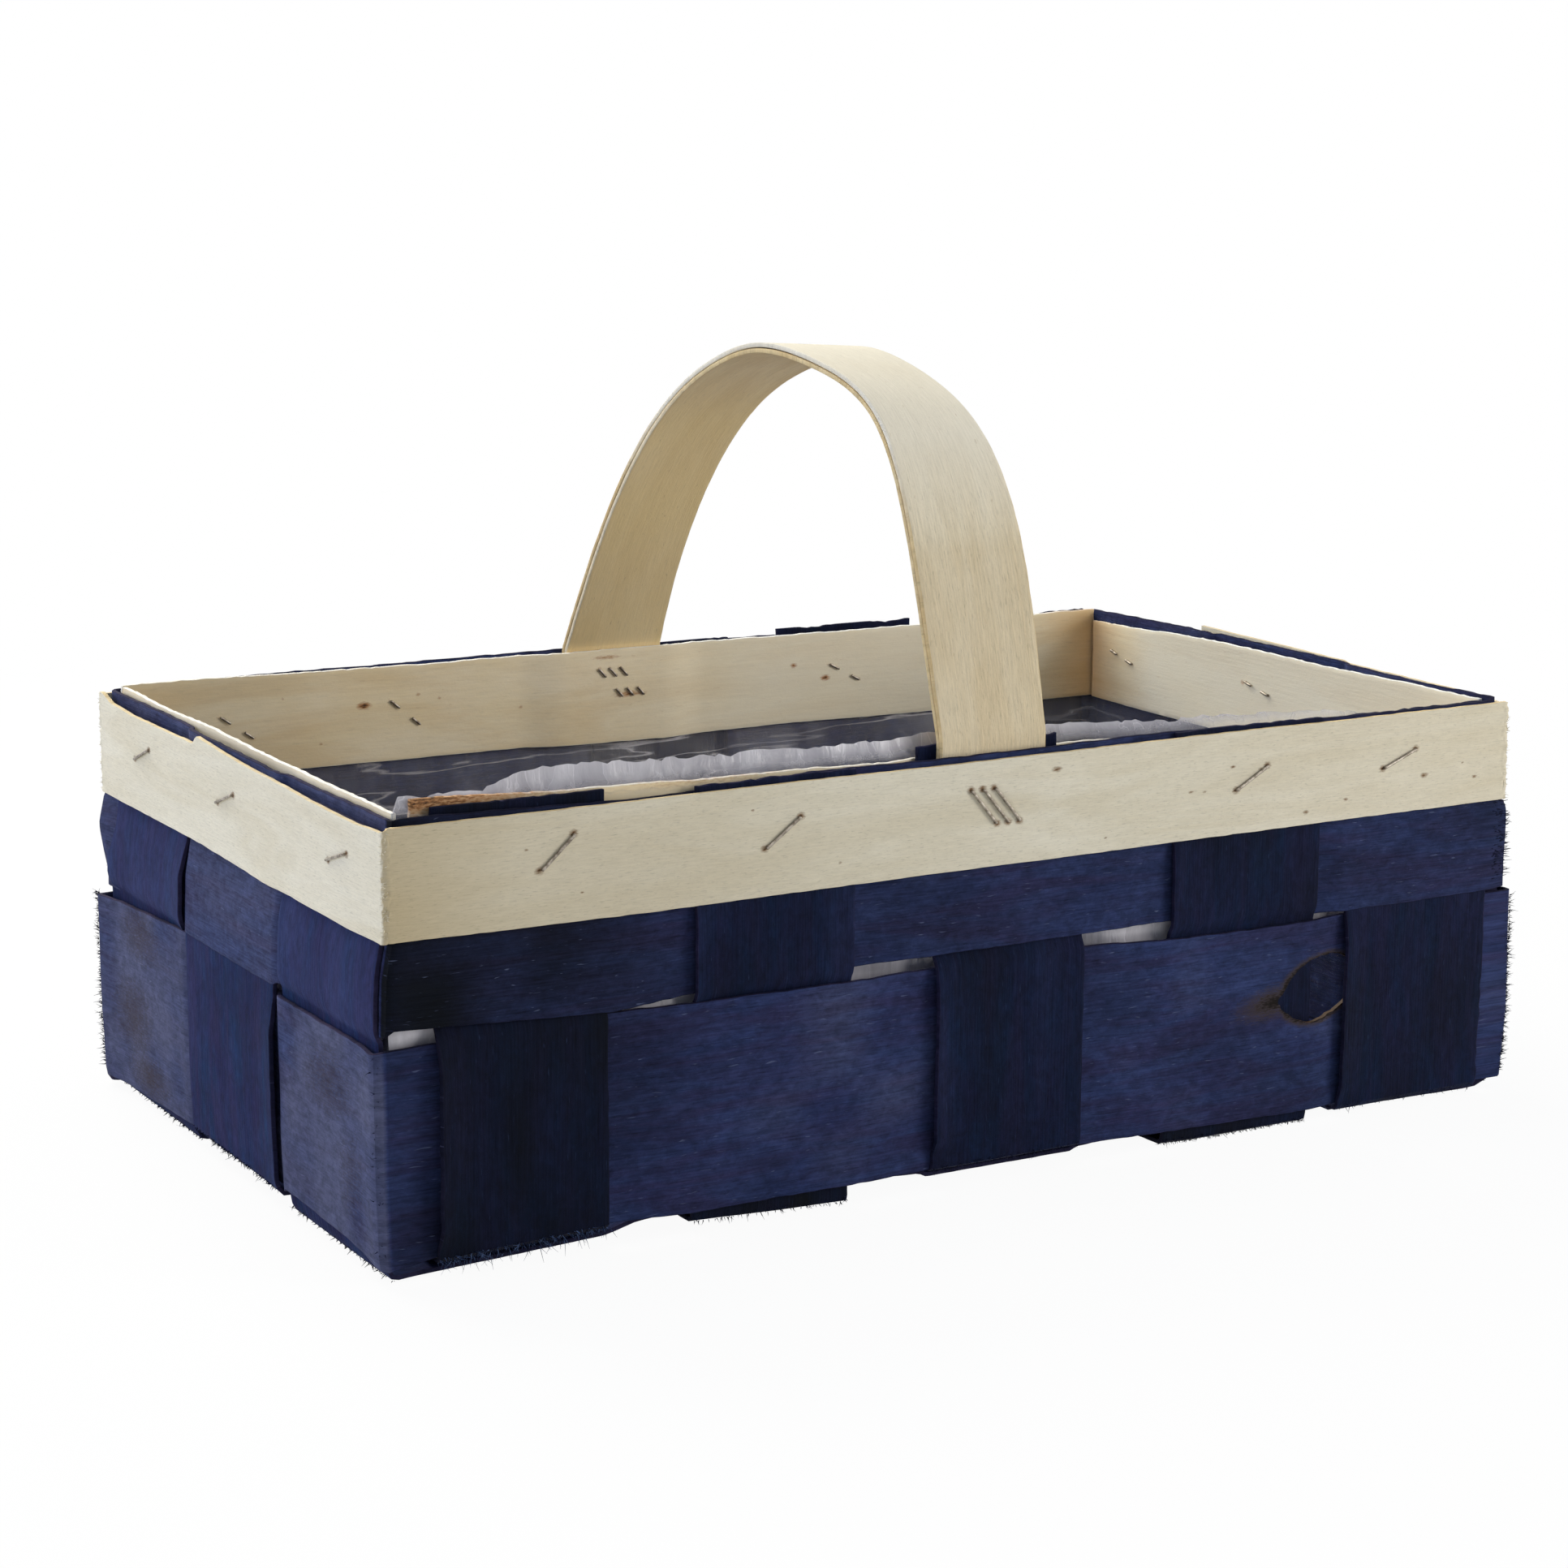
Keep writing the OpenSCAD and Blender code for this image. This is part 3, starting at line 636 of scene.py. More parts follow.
print("a fold has", len(fold_arc((0, 0), (0, 1), (1, 0), BEND_R)), "stations")

# %% Routes and folding


def route_through(stations, pitch=1.0):
    """The line through all stations, with a soft S wherever the strip changes its layer."""
    points = [stations[0][0]]
    for (here, out), (there, out_there) in zip(stations, stations[1:]):
        if out @ out_there > 0.999:
            climb = (there - here) @ out
            run = there - here - climb * out
            count = max(1, int(np.linalg.norm(run) / pitch))
            for t in np.linspace(0, 1, count + 1)[1:]:
                points.append(here + run * t + out * climb * t * t * (3 - 2 * t))
        else:
            points.append(there)
    keep = [points[0]]
    for point in points[1:]:
        if np.linalg.norm(point - keep[-1]) > 1e-3:
            keep.append(point)
    return Line(keep, stations[0][1])


def fold(piece, route, plane, across, sign):
    """Lays a flat strip on its route: x runs along it, y across it and z out of it."""
    rows = places(piece)
    point, out = route.at(rows[:, 0])
    made = np.zeros_like(rows)
    made[:, plane] = point + out * rows[:, 2:]
    made[:, across] = rows[:, 1] * sign
    move(piece, made)
    return piece


print("a flat strip can be laid on its route")

# %% [markdown]
# The real walls are not flat. Their short ends bulge where the lower weaver pulls on them, and
# the bottom's front edge has lifted off the table between the corners. Both are small moves of
# finished pieces, written as short lists of how far the wood has gone at some places.

# %% Bulged ends and the lifted bottom
BULGE_LEFT = [(0, 0.7), (5, 1.6), (20, 2.1), (52, 2.3), (66, 1.8), (76, 0)]
BULGE_RIGHT = [(0, 6.0), (20, 7.4), (52, 6.8), (72, 6.2), (74.7, 5.4), (75.1, 0.9), (105, 0.3)]
LIFT_CROSS = [(-138, 2.0), (-98, 3.2), (-77, 1.9), (-37, 0.2), (-30, 3.0), (26, 3.0), (50, 0.5),
              (60, 0), (98, 0), (102, 0.3), (146, 0.3)]
LIFT_LONG = [(-148, 0.2), (-138, 0.7), (-98, 2.1), (-90, 3.4), (-80, 3.4), (-77, 2.4), (-37, 2.4),
             (-35, 3.4), (-17, 3.4), (-15, 2.4), (25, 2.4), (27, 3.2), (48, 3.2), (50, 1.8),
             (93, 1.8), (94, 2.5), (101, 2.5), (102, 1.0), (148, 0.3)]


def settle(rows):
    """Bulges both ends."""
    x, z = rows[:, 0].copy(), rows[:, 2]
    rows[:, 0] += (grow(x, 143.5, 4) ** 2 * listed(z, BULGE_RIGHT)
                   - grow(-x, 138, 8) * listed(z, BULGE_LEFT))
    return rows


def at_foot(z):
    """1 at the lower fold of the wall, 0 well above it."""
    return nearness(z - 2.5, 12)


def lift_share(y, z):
    """How much of the lift reaches a place. All of it does at the front's lower fold."""
    return at_foot(z) * grow(-y, 60, 18)


def lift_bottom(piece, points):
    rows = places(piece)
    rows[:, 2] += lift_share(rows[:, 1], rows[:, 2]) * listed(rows[:, 0], points)
    move(piece, rows)


def finish(piece, slot, *nodes, smooth=38, tone=None):
    """Settles a piece, brings it from millimetres to metres, hangs it on the root, hides its nodes.
    """
    rows = places(piece)
    if tone is not None:
        mark(piece, "tone", tone(*rows.T))
    move(piece, settle(rows))
    piece.data.transform(Matrix.Scale(MM, 4))
    pick(piece)
    bpy.ops.object.shade_smooth_by_angle(angle=math.radians(smooth))
    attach(piece, "root")
    if nodes:
        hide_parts(*nodes)
    print(f"{piece.name}: {len(piece.data.polygons)} faces, {(rows.min(0)).round(1)}"
          f" to {(rows.max(0)).round(1)} mm")
    return piece


print("folding tools ready")

# %% [markdown]
# The cross strips start as cut ends behind the front band, go down the wall, under the bottom
# and up the back. At each level they lie outside or inside the weaver, and each one does the
# opposite of its neighbour, which is what holds a plait together. The fourth one runs askew.

# %% Layers of the plait
CROSS_PLANE, LONG_PLANE, RING_PLANE = [1, 2], [0, 2], [0, 1]
LEVEL_LOW, LEVEL_HIGH = 1, -1
SLANT = [0.0, 0.0, 0.0, -8.5, -2.0]
FRONT_TOP = [101.5, 100.8, 103.1, 100.9, 100.4]
BACK_TOP = [101.0, 101.0, 101.0, 101.8, 100.7]
LEFT_TOP, RIGHT_TOP = 96.9, 99.0
FRONT, BACK, LEFT, RIGHT = (0, -1), (0, 1), (-1, 0), (1, 0)
SIDES = {"front": FRONT, "back": BACK, "left": LEFT, "right": RIGHT}


FRONT_WALL, LEFT_WALL = -80, -146


def alt(k):
    """1 and -1 by turns."""
    return 1 if k % 2 == 0 else -1


def at_cross(k, level):
    """How far outside the wall's middle a weaver passes a cross strip."""
    return -alt(k) * level * LAY


def at_long(m, level):
    """How far outside the wall's middle a weaver passes a long strip."""
    return alt(m) * level * LAY


def leaned(k, y):
    """How far a cross strip has moved along the basket at a place between front and back."""
    return SLANT[k] * grow(y, -CORNER_Y, 2 * CORNER_Y)


def stake_wall(side, size, upper, lower, top, push=0.0):
    """Stations of a stake's wall part, from its cut end down to the weaver's lower edge."""
    points = [(upper, top), (upper, UPPER_LOW), (lower, LOWER_TOP)]
    if push:
        points = [(upper - push, top), (upper - push, TONGUE_LOW),
                  (upper, TONGUE_LOW - VENEER * 7)] + points[1:]
    return [station((side * (size + depth), z), (side, 0)) for depth, z in points]


def cross_level(k, m):
    """The height of a cross strip where it passes a long one under the bottom."""
    return FLOOR_MID + alt(k + m) * LAY


def long_level(k, m):
    """The height of a long strip where it passes a cross one."""
    return FLOOR_MID - alt(k + m) * LAY


def cross_route(k):
    upper, lower = -at_cross(k, LEVEL_HIGH), -at_cross(k, LEVEL_LOW)
    bottom = [station((y, cross_level(k, m)), (0, -1)) for m, y in (
        (0, LONG_HIGH[0]), (1, LONG_LOW[1]), (1, LONG_HIGH[1]), (2, LONG_LOW[2]))]
    return route_through(
        stake_wall(-1, WALL_Y, upper, lower, FRONT_TOP[k], HANDLE_STACK if k == 2 else 0.0)
        + fold_arc((-(WALL_Y + lower), cross_level(k, 0)), (-1, 0), (0, -1), BEND_R)
        + bottom
        + fold_arc((WALL_Y + lower, cross_level(k, 2)), (0, -1), (1, 0), BEND_R)
        + stake_wall(1, WALL_Y, upper, lower, BACK_TOP[k])[::-1])


def long_route(m):
    upper, lower = -at_long(m, LEVEL_HIGH), -at_long(m, LEVEL_LOW)
    y = (LONG_LOW[m] + LONG_HIGH[m]) / 2
    bottom = [station((x + leaned(k + far, y), long_level(k + far, m)), (0, -1)) for k in range(4)
              for far, x in ((0, CROSS_HIGH[k]), (1, CROSS_LOW[k + 1]))]
    return route_through(
        stake_wall(-1, WALL_X, upper, lower, LEFT_TOP)
        + fold_arc((-(WALL_X + lower), long_level(0, m)), (-1, 0), (0, -1), BEND_R)
        + bottom
        + fold_arc((WALL_X + lower, long_level(4, m)), (0, -1), (1, 0), BEND_R)
        + stake_wall(1, WALL_X, upper, lower, RIGHT_TOP)[::-1])


print("first cross strip:", round(cross_route(0).length, 1), "mm long")

# %% [markdown]
# Where a stake lies outside its weaver, one long edge has curled off the wall and throws the
# black line of shadow that sets the strips apart. The curl is part of the flat strip's lift.

# %% Cross strips
PITCH = 1.25
CURL_LOWER, CURL_UPPER = (48, 97), (24, 52)


def curled(length, size, zone, edge, seed):
    """Lift of one long edge of a strip off the wall, in the same zone at both its ends."""
    def lift(s, y, v):
        down = np.minimum(s, length - s)
        inside = grow(down, zone[0], 8) * fade(down, zone[1], 5)
        rim = nearness(np.abs(v - edge), 0.24) ** 1.7
        share = np.where(s < length / 2, 1.0, 0.6)
        return size * share * inside * rim + 0.1 * hills(seed, s / 30, y / 18)
    return lift


def make_stake(name, route, low_edge, high_edge, laid, seed, lift, face):
    """A strip cut flat, thickened and laid on its route. laid is what fold needs to know."""
    piece = flat_sheet(name, route.length, low_edge, high_edge, PITCH, lift=lift,
                       ends=[hand_cut(seed + more, 0.5, 12.0, 1.5) for more in (9, 13)],
                       shift=(seed * 0.61, seed * 0.37))
    thicken(piece, SHEET, face, DARK_CUT)
    return fold(piece, route, *laid)


CURL_FRONT = [2.2, 0.9, 1.7, 0.9, 1.5]
TONE_FRONT = [-0.6, -0.05, -0.15, -0.2, -0.2]
# Painted shade: the second and fourth cross strips are darkened low down by the floor, where their
# feet fold under in shade.
FOOT_SHADE = [0.0, -0.8, 0.0, -0.3, 0.0]
for k in range(5):
    seed, route = 20 + 17 * k, cross_route(k)
    narrow = (lambda s: fade(s, 13, 3)) if k == 2 else (lambda s: 0 * s)
    strip = make_stake(
        f"cross_stake_{k + 1}", route,
        lambda s, f=hand_cut(seed): CROSS_LOW[k] - 3.3 * narrow(s) + f(s),
        lambda s, f=hand_cut(seed + 5): CROSS_HIGH[k] - 6.8 * narrow(s) + f(s),
        (CROSS_PLANE, 0, 1), seed,
        curled(route.length, CURL_FRONT[k], CURL_UPPER if k % 2 else CURL_LOWER, 0, seed), STAKE)
    rows = places(strip)
    rows[:, 0] += leaned(k, rows[:, 1])
    move(strip, rows)
    lift_bottom(strip, LIFT_CROSS)
    # The tone adds the painted shade at the foot.
    finish(strip, "stake_veneer", f"cross_strip_{k + 1}",
           tone=lambda x, y, z: TONE_FRONT[k] + 0.3 * hills(41 + k, x / 7, z / 26)
           + FOOT_SHADE[k] * fade(z, 8, 3))

# %% Long strips
CURL_SIDE = [0.0, 1.3, 1.0]
LEFT_FOOT = [0.0, 2.0, 0.0]
for m, name in enumerate(("front", "middle", "back")):
    seed, route = 130 + 17 * m, long_route(m)
    strip = make_stake(
        f"long_stake_{name}", route, lambda s, f=hand_cut(seed): -LONG_HIGH[m] + f(s),
        lambda s, f=hand_cut(seed + 5): -LONG_LOW[m] + f(s), (LONG_PLANE, 1, -1), seed,
        curled(route.length, CURL_SIDE[m], CURL_UPPER if m != 1 else CURL_LOWER, 1, seed),
        STAKE_SIDE)
    lift_bottom(strip, LIFT_LONG)
    rows = places(strip)
    rows[:, 2] += LEFT_FOOT[m] * (at_foot(rows[:, 2]) * grow(-rows[:, 0], 130, 12))
    move(strip, rows)
    finish(strip, "stake_veneer", f"long_strip_{name}",
           tone=lambda x, y, z: np.where(z > 53, 0.5, 0.0) * (m != 1)
           + 0.3 * hills(61 + m, y / 9, z / 14))

# %% [markdown]
# The weavers are one long strip each, about a metre, folded round the four corners. Their ends
# overlap on the back. The edges of the real strips are not level, so each side has a short
# list of how far an edge lies above or below its even line. The dye has worn most on the left,
# so the tone of a weaver asks which wall a place is on.

# %% Weaver routes


def weaver_route(level):
    """The ring of a weaver. It starts and ends on the back, where its ends overlap."""
    left, front = WALL_X + at_long(0, level), WALL_Y + at_cross(0, level)

    def past_cross(k, side, x):
        return station((x, side[1] * (WALL_Y + at_cross(k, level))), side)

    def past_long(m, side, y):
        return station((side[0] * (WALL_X + at_long(m, level)), y), side)

    stations = [past_cross(2, BACK, CROSS_LOW[3] + SLANT[3] - GAP)]
    stations += [past_cross(k, BACK, x) for k in (2, 1, 0) for x in (CROSS_HIGH[k], CROSS_LOW[k])]
    stations += fold_arc((-left, front), BACK, LEFT, BEND_R)
    stations += [past_long(m, LEFT, y) for m in (2, 1, 0) for y in (LONG_HIGH[m], LONG_LOW[m])]
    stations += fold_arc((-left, -front), LEFT, FRONT, BEND_R)
    stations += [past_cross(k, FRONT, x) for k in range(5) for x in (CROSS_LOW[k], CROSS_HIGH[k])]
    stations += fold_arc((left, -front), FRONT, RIGHT, BEND_R)
    stations += [past_long(m, RIGHT, y) for m in range(3) for y in (LONG_LOW[m], LONG_HIGH[m])]
    stations += fold_arc((left, front), RIGHT, BACK, BEND_R)
    stations += [past_cross(k, BACK, x + SLANT[k]) for k in (4, 3)
                 for x in (CROSS_HIGH[k], CROSS_LOW[k])]
    return route_through(stations + [past_cross(3, BACK, CROSS_HIGH[2] + GAP)])


def uneven(route, height, sides, cut):
    """An edge at a height, plus what the list of each side adds, as a function of the way."""
    def edge(s):
        point, out = route.at(s)
        extra, total = np.zeros(len(s)), np.zeros(len(s))
        for (dx, dy), points in sides.items():
            share = np.clip(out[:, 0] * dx + out[:, 1] * dy, 0, 1) ** 2
            extra += share * listed(point[:, 0] if dy else point[:, 1], points)
            total += share
        return height + extra / np.maximum(total, 0.2) + cut(s)
    return edge


print("lower weaver:", round(weaver_route(LEVEL_LOW).length), "mm long")

# %% Uneven edges of the weavers
LOWER_FOOT = {FRONT: [(-149, -1.7), (-137, 0.5), (-95, 1.0), (-79, 0.4), (-15, 0.5), (46, -0.2),
                      (90, -1.1), (149, -1.4)],
              LEFT: [(-87, -0.6), (-83, -0.6), (-66, 0.6), (-34, 1.3), (30, 0.3), (60, -1.2),
                     (88, -1.8)],
              RIGHT: [(-88, -1.4), (88, -2)], BACK: [(-150, -4), (-60, 0), (150, -2)]}
LOWER_HEAD = {FRONT: [(-151, -1.4), (-138, -0.6), (-97, 0.8), (-36, 0.2), (25, 0.2), (51, -0.7),
                      (102, -0.9), (149, -0.6)],
              LEFT: [(-86, -1.4), (-26, -1.6), (31, 0.2), (96, -3.5)],
              RIGHT: [(-88, -0.6), (88, -1)], BACK: [(-150, -3), (-60, 0), (150, -1)]}
UPPER_FOOT = {FRONT: [(-149, 0.6), (-138, 0.2), (-97, -1.9), (-77, -0.7), (-36, 0.2), (25, 0.5),
                      (50, 0.4), (93, -2.6), (149, -2.4)],
              LEFT: [(-85, -1.2), (-26, -3.2), (34, -3.2), (91, -3.6)],
              RIGHT: [(-88, -2.4), (88, -1)], BACK: [(-150, -3), (-60, 0), (150, -1)]}
UPPER_HEAD = {FRONT: [(-144, -1.4), (-93, -2.7), (-83, -2.8), (-48, -0.9), (38, -0.8), (92, -1.1)],
              LEFT: [(-86, -2.0), (-48, -1.9), (-9, -1.7), (33, -1.4), (63, -1.2), (88, -1.0)],
              BACK: [(-150, -1.2), (-125, -0.3), (-24, -0.2), (6, -1.2), (43, -1.3), (90, -1.9),
                     (150, -2.0)],
              RIGHT: [(-86, -0.4), (-60, -0.9), (0, -0.6), (40, -0.4), (84, -1.6)]}
EDGES = (LOWER_FOOT, LOWER_HEAD, UPPER_FOOT, UPPER_HEAD)
print("edges listed at", sum(len(row) for table in EDGES for row in table.values()), "places")

# %% Weavers


def make_weaver(name, level, low_line, high_line, feet, heads, seed):
    route = weaver_route(level)
    piece = flat_sheet(
        name, route.length, uneven(route, low_line, feet, hand_cut(seed, 0.25)),
        uneven(route, high_line, heads, hand_cut(seed + 3, 0.25)), PITCH,
        lift=lambda s, y, v: 0.12 * hills(seed + 5, s / 25, y / 14),
        ends=[hand_cut(seed + more, 0.6, 12, 1.5) for more in (7, 8)],
        shift=(seed * 0.31, seed * 0.17))
    return thicken(piece, SHEET, WEAVER, DARK_CUT), route


def upper_tone(x, y, z):
    """Deep at the front left corner, a little worn on the left."""
    front = listed(x, [(-148, -0.95), (-110, -0.7), (-84, -0.45), (-60, -0.25), (40, -0.2),
                       (150, -0.35)])
    left = np.where(y < -84, -1.0, 0.3)
    return (np.where(x < LEFT_WALL, left, np.where(y < FRONT_WALL, front, 0.0))
            + 0.2 * hills(81, (x + y) / 14, z / 9))


def lower_tone(x, y, z):
    """Much worn on the left."""
    front = listed(x, [(-148, -0.3), (-136, -0.4), (-100, -0.3), (-74, -0.15), (-40, 0.1),
                       (-15, 0.1), (25, -0.2), (60, -0.05), (150, -0.1)])
    left = 0.72 + 0.45 * hills(85, y / 9, z / 13)
    return (np.where(x < LEFT_WALL - 1.2, left, np.where(y < FRONT_WALL, front, 0.0))
            + 0.3 * hills(83, (x + y) / 16, z / 12))


def near_corner(rows, sx, sy, spread):
    """1 at an upright corner of the basket, softly down to 0 round it."""
    return np.exp(-((rows[:, 0] - sx * CORNER_X) ** 2 + (rows[:, 1] - sy * CORNER_Y) ** 2) / spread)


weaver, route = make_weaver("upper_weave", LEVEL_HIGH, UPPER_LOW, WALL_TOP, UPPER_FOOT,
                            UPPER_HEAD, 210)
fold(weaver, route, RING_PLANE, 2, 1)
rows = places(weaver)
slack = listed(rows[:, 2], [(55, 0.1), (60, 0.5), (68, 1), (75, 0.9), (78, 0)])
rows[:, 0] -= 2.8 * slack * near_corner(rows, -1, 1, 90)
move(weaver, rows)
finish(weaver, "weaver_veneer", "upper_weaver", tone=upper_tone)

# %% [markdown]
# A knot has dropped out of the lower weaver on the front. An eye-shaped cutter takes the hole
# out of the flat strip before it is folded, and leaves its own brown material on the wall of
# the hole. The wood round it is stained by the knot, most of all at the eye's left corner.

# %% Knot hole
KNOT_W, KNOT_H = 24.0, 16.0
KNOT_MID = (95.0, 33.8)
KNOT_TILT = 0.12
CUTTER = 6
weaver, route = make_weaver("lower_weave", LEVEL_LOW, LOWER_LOW, LOWER_TOP, LOWER_FOOT,
                            LOWER_HEAD, 230)
knot_way = route.nearest((KNOT_MID[0], -WALL_Y))
refine(weaver, lambda s, z: np.hypot((s - knot_way) / 22, (z - KNOT_MID[1]) / 12) < 1, cuts=1)

deselect()
bpy.ops.mesh.primitive_circle_add(vertices=72, radius=1, fill_type="NGON")
cutter = bpy.context.object
bpy.ops.object.mode_set(mode="EDIT")
bpy.ops.mesh.select_all(action="SELECT")
bpy.ops.mesh.extrude_region_move(TRANSFORM_OT_translate={"value": (0, 0, CUTTER)})
face_outwards()
rows = places(cutter)
turn = np.arctan2(rows[:, 1], rows[:, 0])
wobble = 1 + 0.05 * hills(71, turn * 2.2 + 9) + 0.03 * hills(72, turn * 7 + 30)
point_left = np.clip(-np.cos(turn), 0, 1) ** 3
tall = 1 - 0.45 * point_left
rows[:, 0] = knot_way + rows[:, 0] * KNOT_W / 2 * wobble * (1 + 0.06 * point_left)
rows[:, 1] = (KNOT_MID[1] + rows[:, 1] * KNOT_H / 2 * tall * wobble
              + KNOT_TILT * (rows[:, 0] - knot_way))
rows[:, 2] -= CUTTER / 2
move(cutter, rows)
cutter.data.materials.append(KNOT)
apply_modifier(weaver, "BOOLEAN", operation="DIFFERENCE", object=cutter, solver="EXACT",
               material_mode="TRANSFER")
bpy.data.objects.remove(cutter)
print("knot hole at", round(knot_way, 1), "mm along the weaver")

# %% Stains and corners of the lower weaver
LEFT_PATCHES = [(60, 44, 16, 9, 0.42), (66, 22, 15, 12, 0.5), (57, 9, 17, 7, 0.52),
                (-58, 38, 16, 10, 0.36), (-70, 20, 10, 14, 0.26)]
CORNER_PUSH = {(-1, 1): (-1.8, 1.8), (-1, -1): (-1.0, 0.0), (1, -1): (0.7, -0.7)}
rows = places(weaver)
across = (rows[:, 1] - KNOT_MID[1] - KNOT_TILT * (rows[:, 0] - knot_way)) / (KNOT_H / 2)
far = np.hypot((rows[:, 0] - knot_way) / (KNOT_W / 2), across)
ring = nearness(far - 1.0, 0.2) * 0.85
tip = nearness(np.hypot((rows[:, 0] - knot_way + 14) / 15, across / 0.7))
mark(weaver, "stain", np.where(far < 2.5, np.maximum(ring, tip), 0))
stain_round(weaver, [(route.nearest((-WALL_X, y)), z, wide, tall, strength)
                     for y, z, wide, tall, strength in LEFT_PATCHES], 0.6)
fold(weaver, route, RING_PLANE, 2, 1)
rows = places(weaver)
for (sx, sy), push in CORNER_PUSH.items():
    rows[:, :2] += near_corner(rows, sx, sy, 72)[:, None] * np.array(push)
move(weaver, rows)
finish(weaver, "weaver_veneer", "lower_weaver", tone=lower_tone)

# %% [markdown]
# The outer band is natural wood, folded so sharply that its fibres crack at the corners. Its
# free end overlaps the start on the right and climbs above it. Staples leave brown marks where
# their legs go in, so the legs are found on the staple solids of the frame, and the band gets a
# finer mesh there.

# %% Find the staples' legs
WIRE = 0.7


def staple_legs(node, side):
    """Two points on the wall for each staple of a node: along the wall and up it."""
    axis, sign = (0, side[0]) if side[0] else (1, side[1])
    deselect()
    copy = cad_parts[node].copy()
    copy.data = copy.data.copy()
    copy.parent = None
    bpy.context.scene.collection.objects.link(copy)
    pick(copy)
    bpy.ops.object.mode_set(mode="EDIT")
    bpy.ops.mesh.select_all(action="SELECT")
    bpy.ops.mesh.remove_doubles(threshold=1e-6)
    bpy.ops.mesh.separate(type="LOOSE")
    bpy.ops.object.mode_set(mode="OBJECT")
    found = []
    for part in list(bpy.context.selected_objects):
        rows = places(part) / MM
        crown = rows[rows[:, axis] * sign > (rows[:, axis] * sign).max() - 1.1 * WIRE]
        flat = crown[:, [1 - axis, 2]]
        way = flat[flat[:, 1].argmax()] - flat[flat[:, 1].argmin()]
        span = flat @ (way / np.linalg.norm(way))
        found += [flat[span.argmin()], flat[span.argmax()]]
        bpy.data.objects.remove(part)
    return found


LEGS = {side: [leg for node in list(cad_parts) if node.endswith(f"staples_{name}")
               for leg in staple_legs(node, side)] for name, side in SIDES.items()}
print("legs found:", {side: len(legs) for side, legs in LEGS.items()})

# %% Route and edges of the outer band
LAP = 60.0
LAP_END = LAP * 0.64
LAP_START = LAP_END - LAP
BAND_X, BAND_Y = WALL_X + BAND_DEPTH, WALL_Y + BAND_DEPTH
BAND_CORNERS = [(BAND_X, BAND_Y), (-BAND_X, BAND_Y), (-BAND_X, -BAND_Y), (BAND_X, -BAND_Y)]


def outer_band_route():
    """Once round the basket from the right, and over its own start."""
    stations = [station((BAND_X, LAP_START), RIGHT)]
    turns = (RIGHT, BACK, LEFT, FRONT, RIGHT)
    for corner, before, after in zip(BAND_CORNERS, turns, turns[1:]):
        stations += fold_arc(corner, before, after, FOLD_R)
    return route_through(stations + [station((BAND_X, LAP_START - 4 * VENEER), RIGHT),
                                     station((BAND_X + STEP, LAP_START - GAP), RIGHT),
                                     station((BAND_X + STEP, LAP_END), RIGHT)])


BAND_HEAD = {FRONT: [(-150, -0.8), (-100, -0.45), (-60, -0.35), (-12, -0.2), (38, 0.3), (92, 0.25),
                     (120, 0.6), (150, 0.5)],
             LEFT: [(-83, -1.9), (-72, -2.4), (-48, -2.1), (-35, -1.6), (-9.5, -1.0), (4, -0.4),
                    (19.5, 0.6), (21.9, -1.5), (63, -1.7), (79, -1.05), (85, 0.7)],
             BACK: [(-150, 0), (150, 0)], RIGHT: [(-88, -0.4), (88, -0.4)]}
BAND_FOOT = {FRONT: [(-146, -0.8), (-120, -1.05), (-90, -1.15), (-60, -0.85), (12, -0.5),
                     (38, -0.27), (92, 0.1), (135, 0.2)],
             LEFT: [(-83, -1.1), (-72, -1.4), (-48, -1.2), (-35, -1.1), (-22, -1.45), (-9.5, -0.96),
                    (19, -0.3), (63, -0.27)],
             BACK: [(-150, 0), (150, 0)], RIGHT: [(-88, 0), (88, 0)]}
LAP_RISE = [(-130, 0), (-108, 1.0), (-77, 1.5), (-30, 2.2), (0, 2.5)]
SPECKS = [(-118, 91, 0.3), (-105, 80.5, 0.3), (-64, 94, 0.3), (-42, 80, 0.3), (16, 95.6, 0.9),
          (54, 86.6, 0.5), (58, 86.2, 0.4), (66, 91.5, 0.5), (88, 78.4, 0.6), (100, 80.4, 0.5),
          (124, 84.0, 0.8), (140, 82.2, 0.5), (30, 78.2, 0.3), (74, 90.2, 0.4), (136, 86, 0.3)]
# Painted shade: this list darkens the front of the outer band towards its left end, where less
# light falls, and a little towards its right end.
FRONT_BAND_SHADE = [(-151, -1.0), (-120, -0.5), (-40, 0), (40, 0), (100, -0.25)]
band_route = outer_band_route()
print("outer band:", round(band_route.length), "mm long")

# %% Outer band
band_head = uneven(band_route, BAND_TOP, BAND_HEAD, hand_cut(305, 0.15))
band = flat_sheet("outer_band", band_route.length,
                  uneven(band_route, BAND_LOW, BAND_FOOT, hand_cut(301, 0.15)),
                  lambda s: band_head(s) + listed(s - band_route.length, LAP_RISE), 1.2,
                  ends=[hand_cut(seed, 0.4, 9, 1.2) for seed in (311, 313)])
wall_of = {FRONT: lambda a: (a, -BAND_Y), BACK: lambda a: (a, BAND_Y),
           LEFT: lambda a: (-BAND_X, a), RIGHT: lambda a: (BAND_X, a)}
leg_spots = [(band_route.nearest(wall_of[side](along), last=side == RIGHT), height)
             for side, legs in LEGS.items() for along, height in legs]
specks = [(band_route.nearest((x, -BAND_Y)), z, size) for x, z, size in SPECKS]
fold_ways = np.array([band_route.nearest(np.array(corner) * (1 - FOLD_R * 0.3 / BAND_X))
                      for corner in BAND_CORNERS])


def near_mark(s, z):
    spots = leg_spots + [spot[:2] for spot in specks]
    return np.any([np.hypot(s - a, z - b) < 2.4 for a, b in spots], axis=0)


def near_fold(s, reach):
    return nearness(np.abs(s[:, None] - fold_ways).min(1), reach)


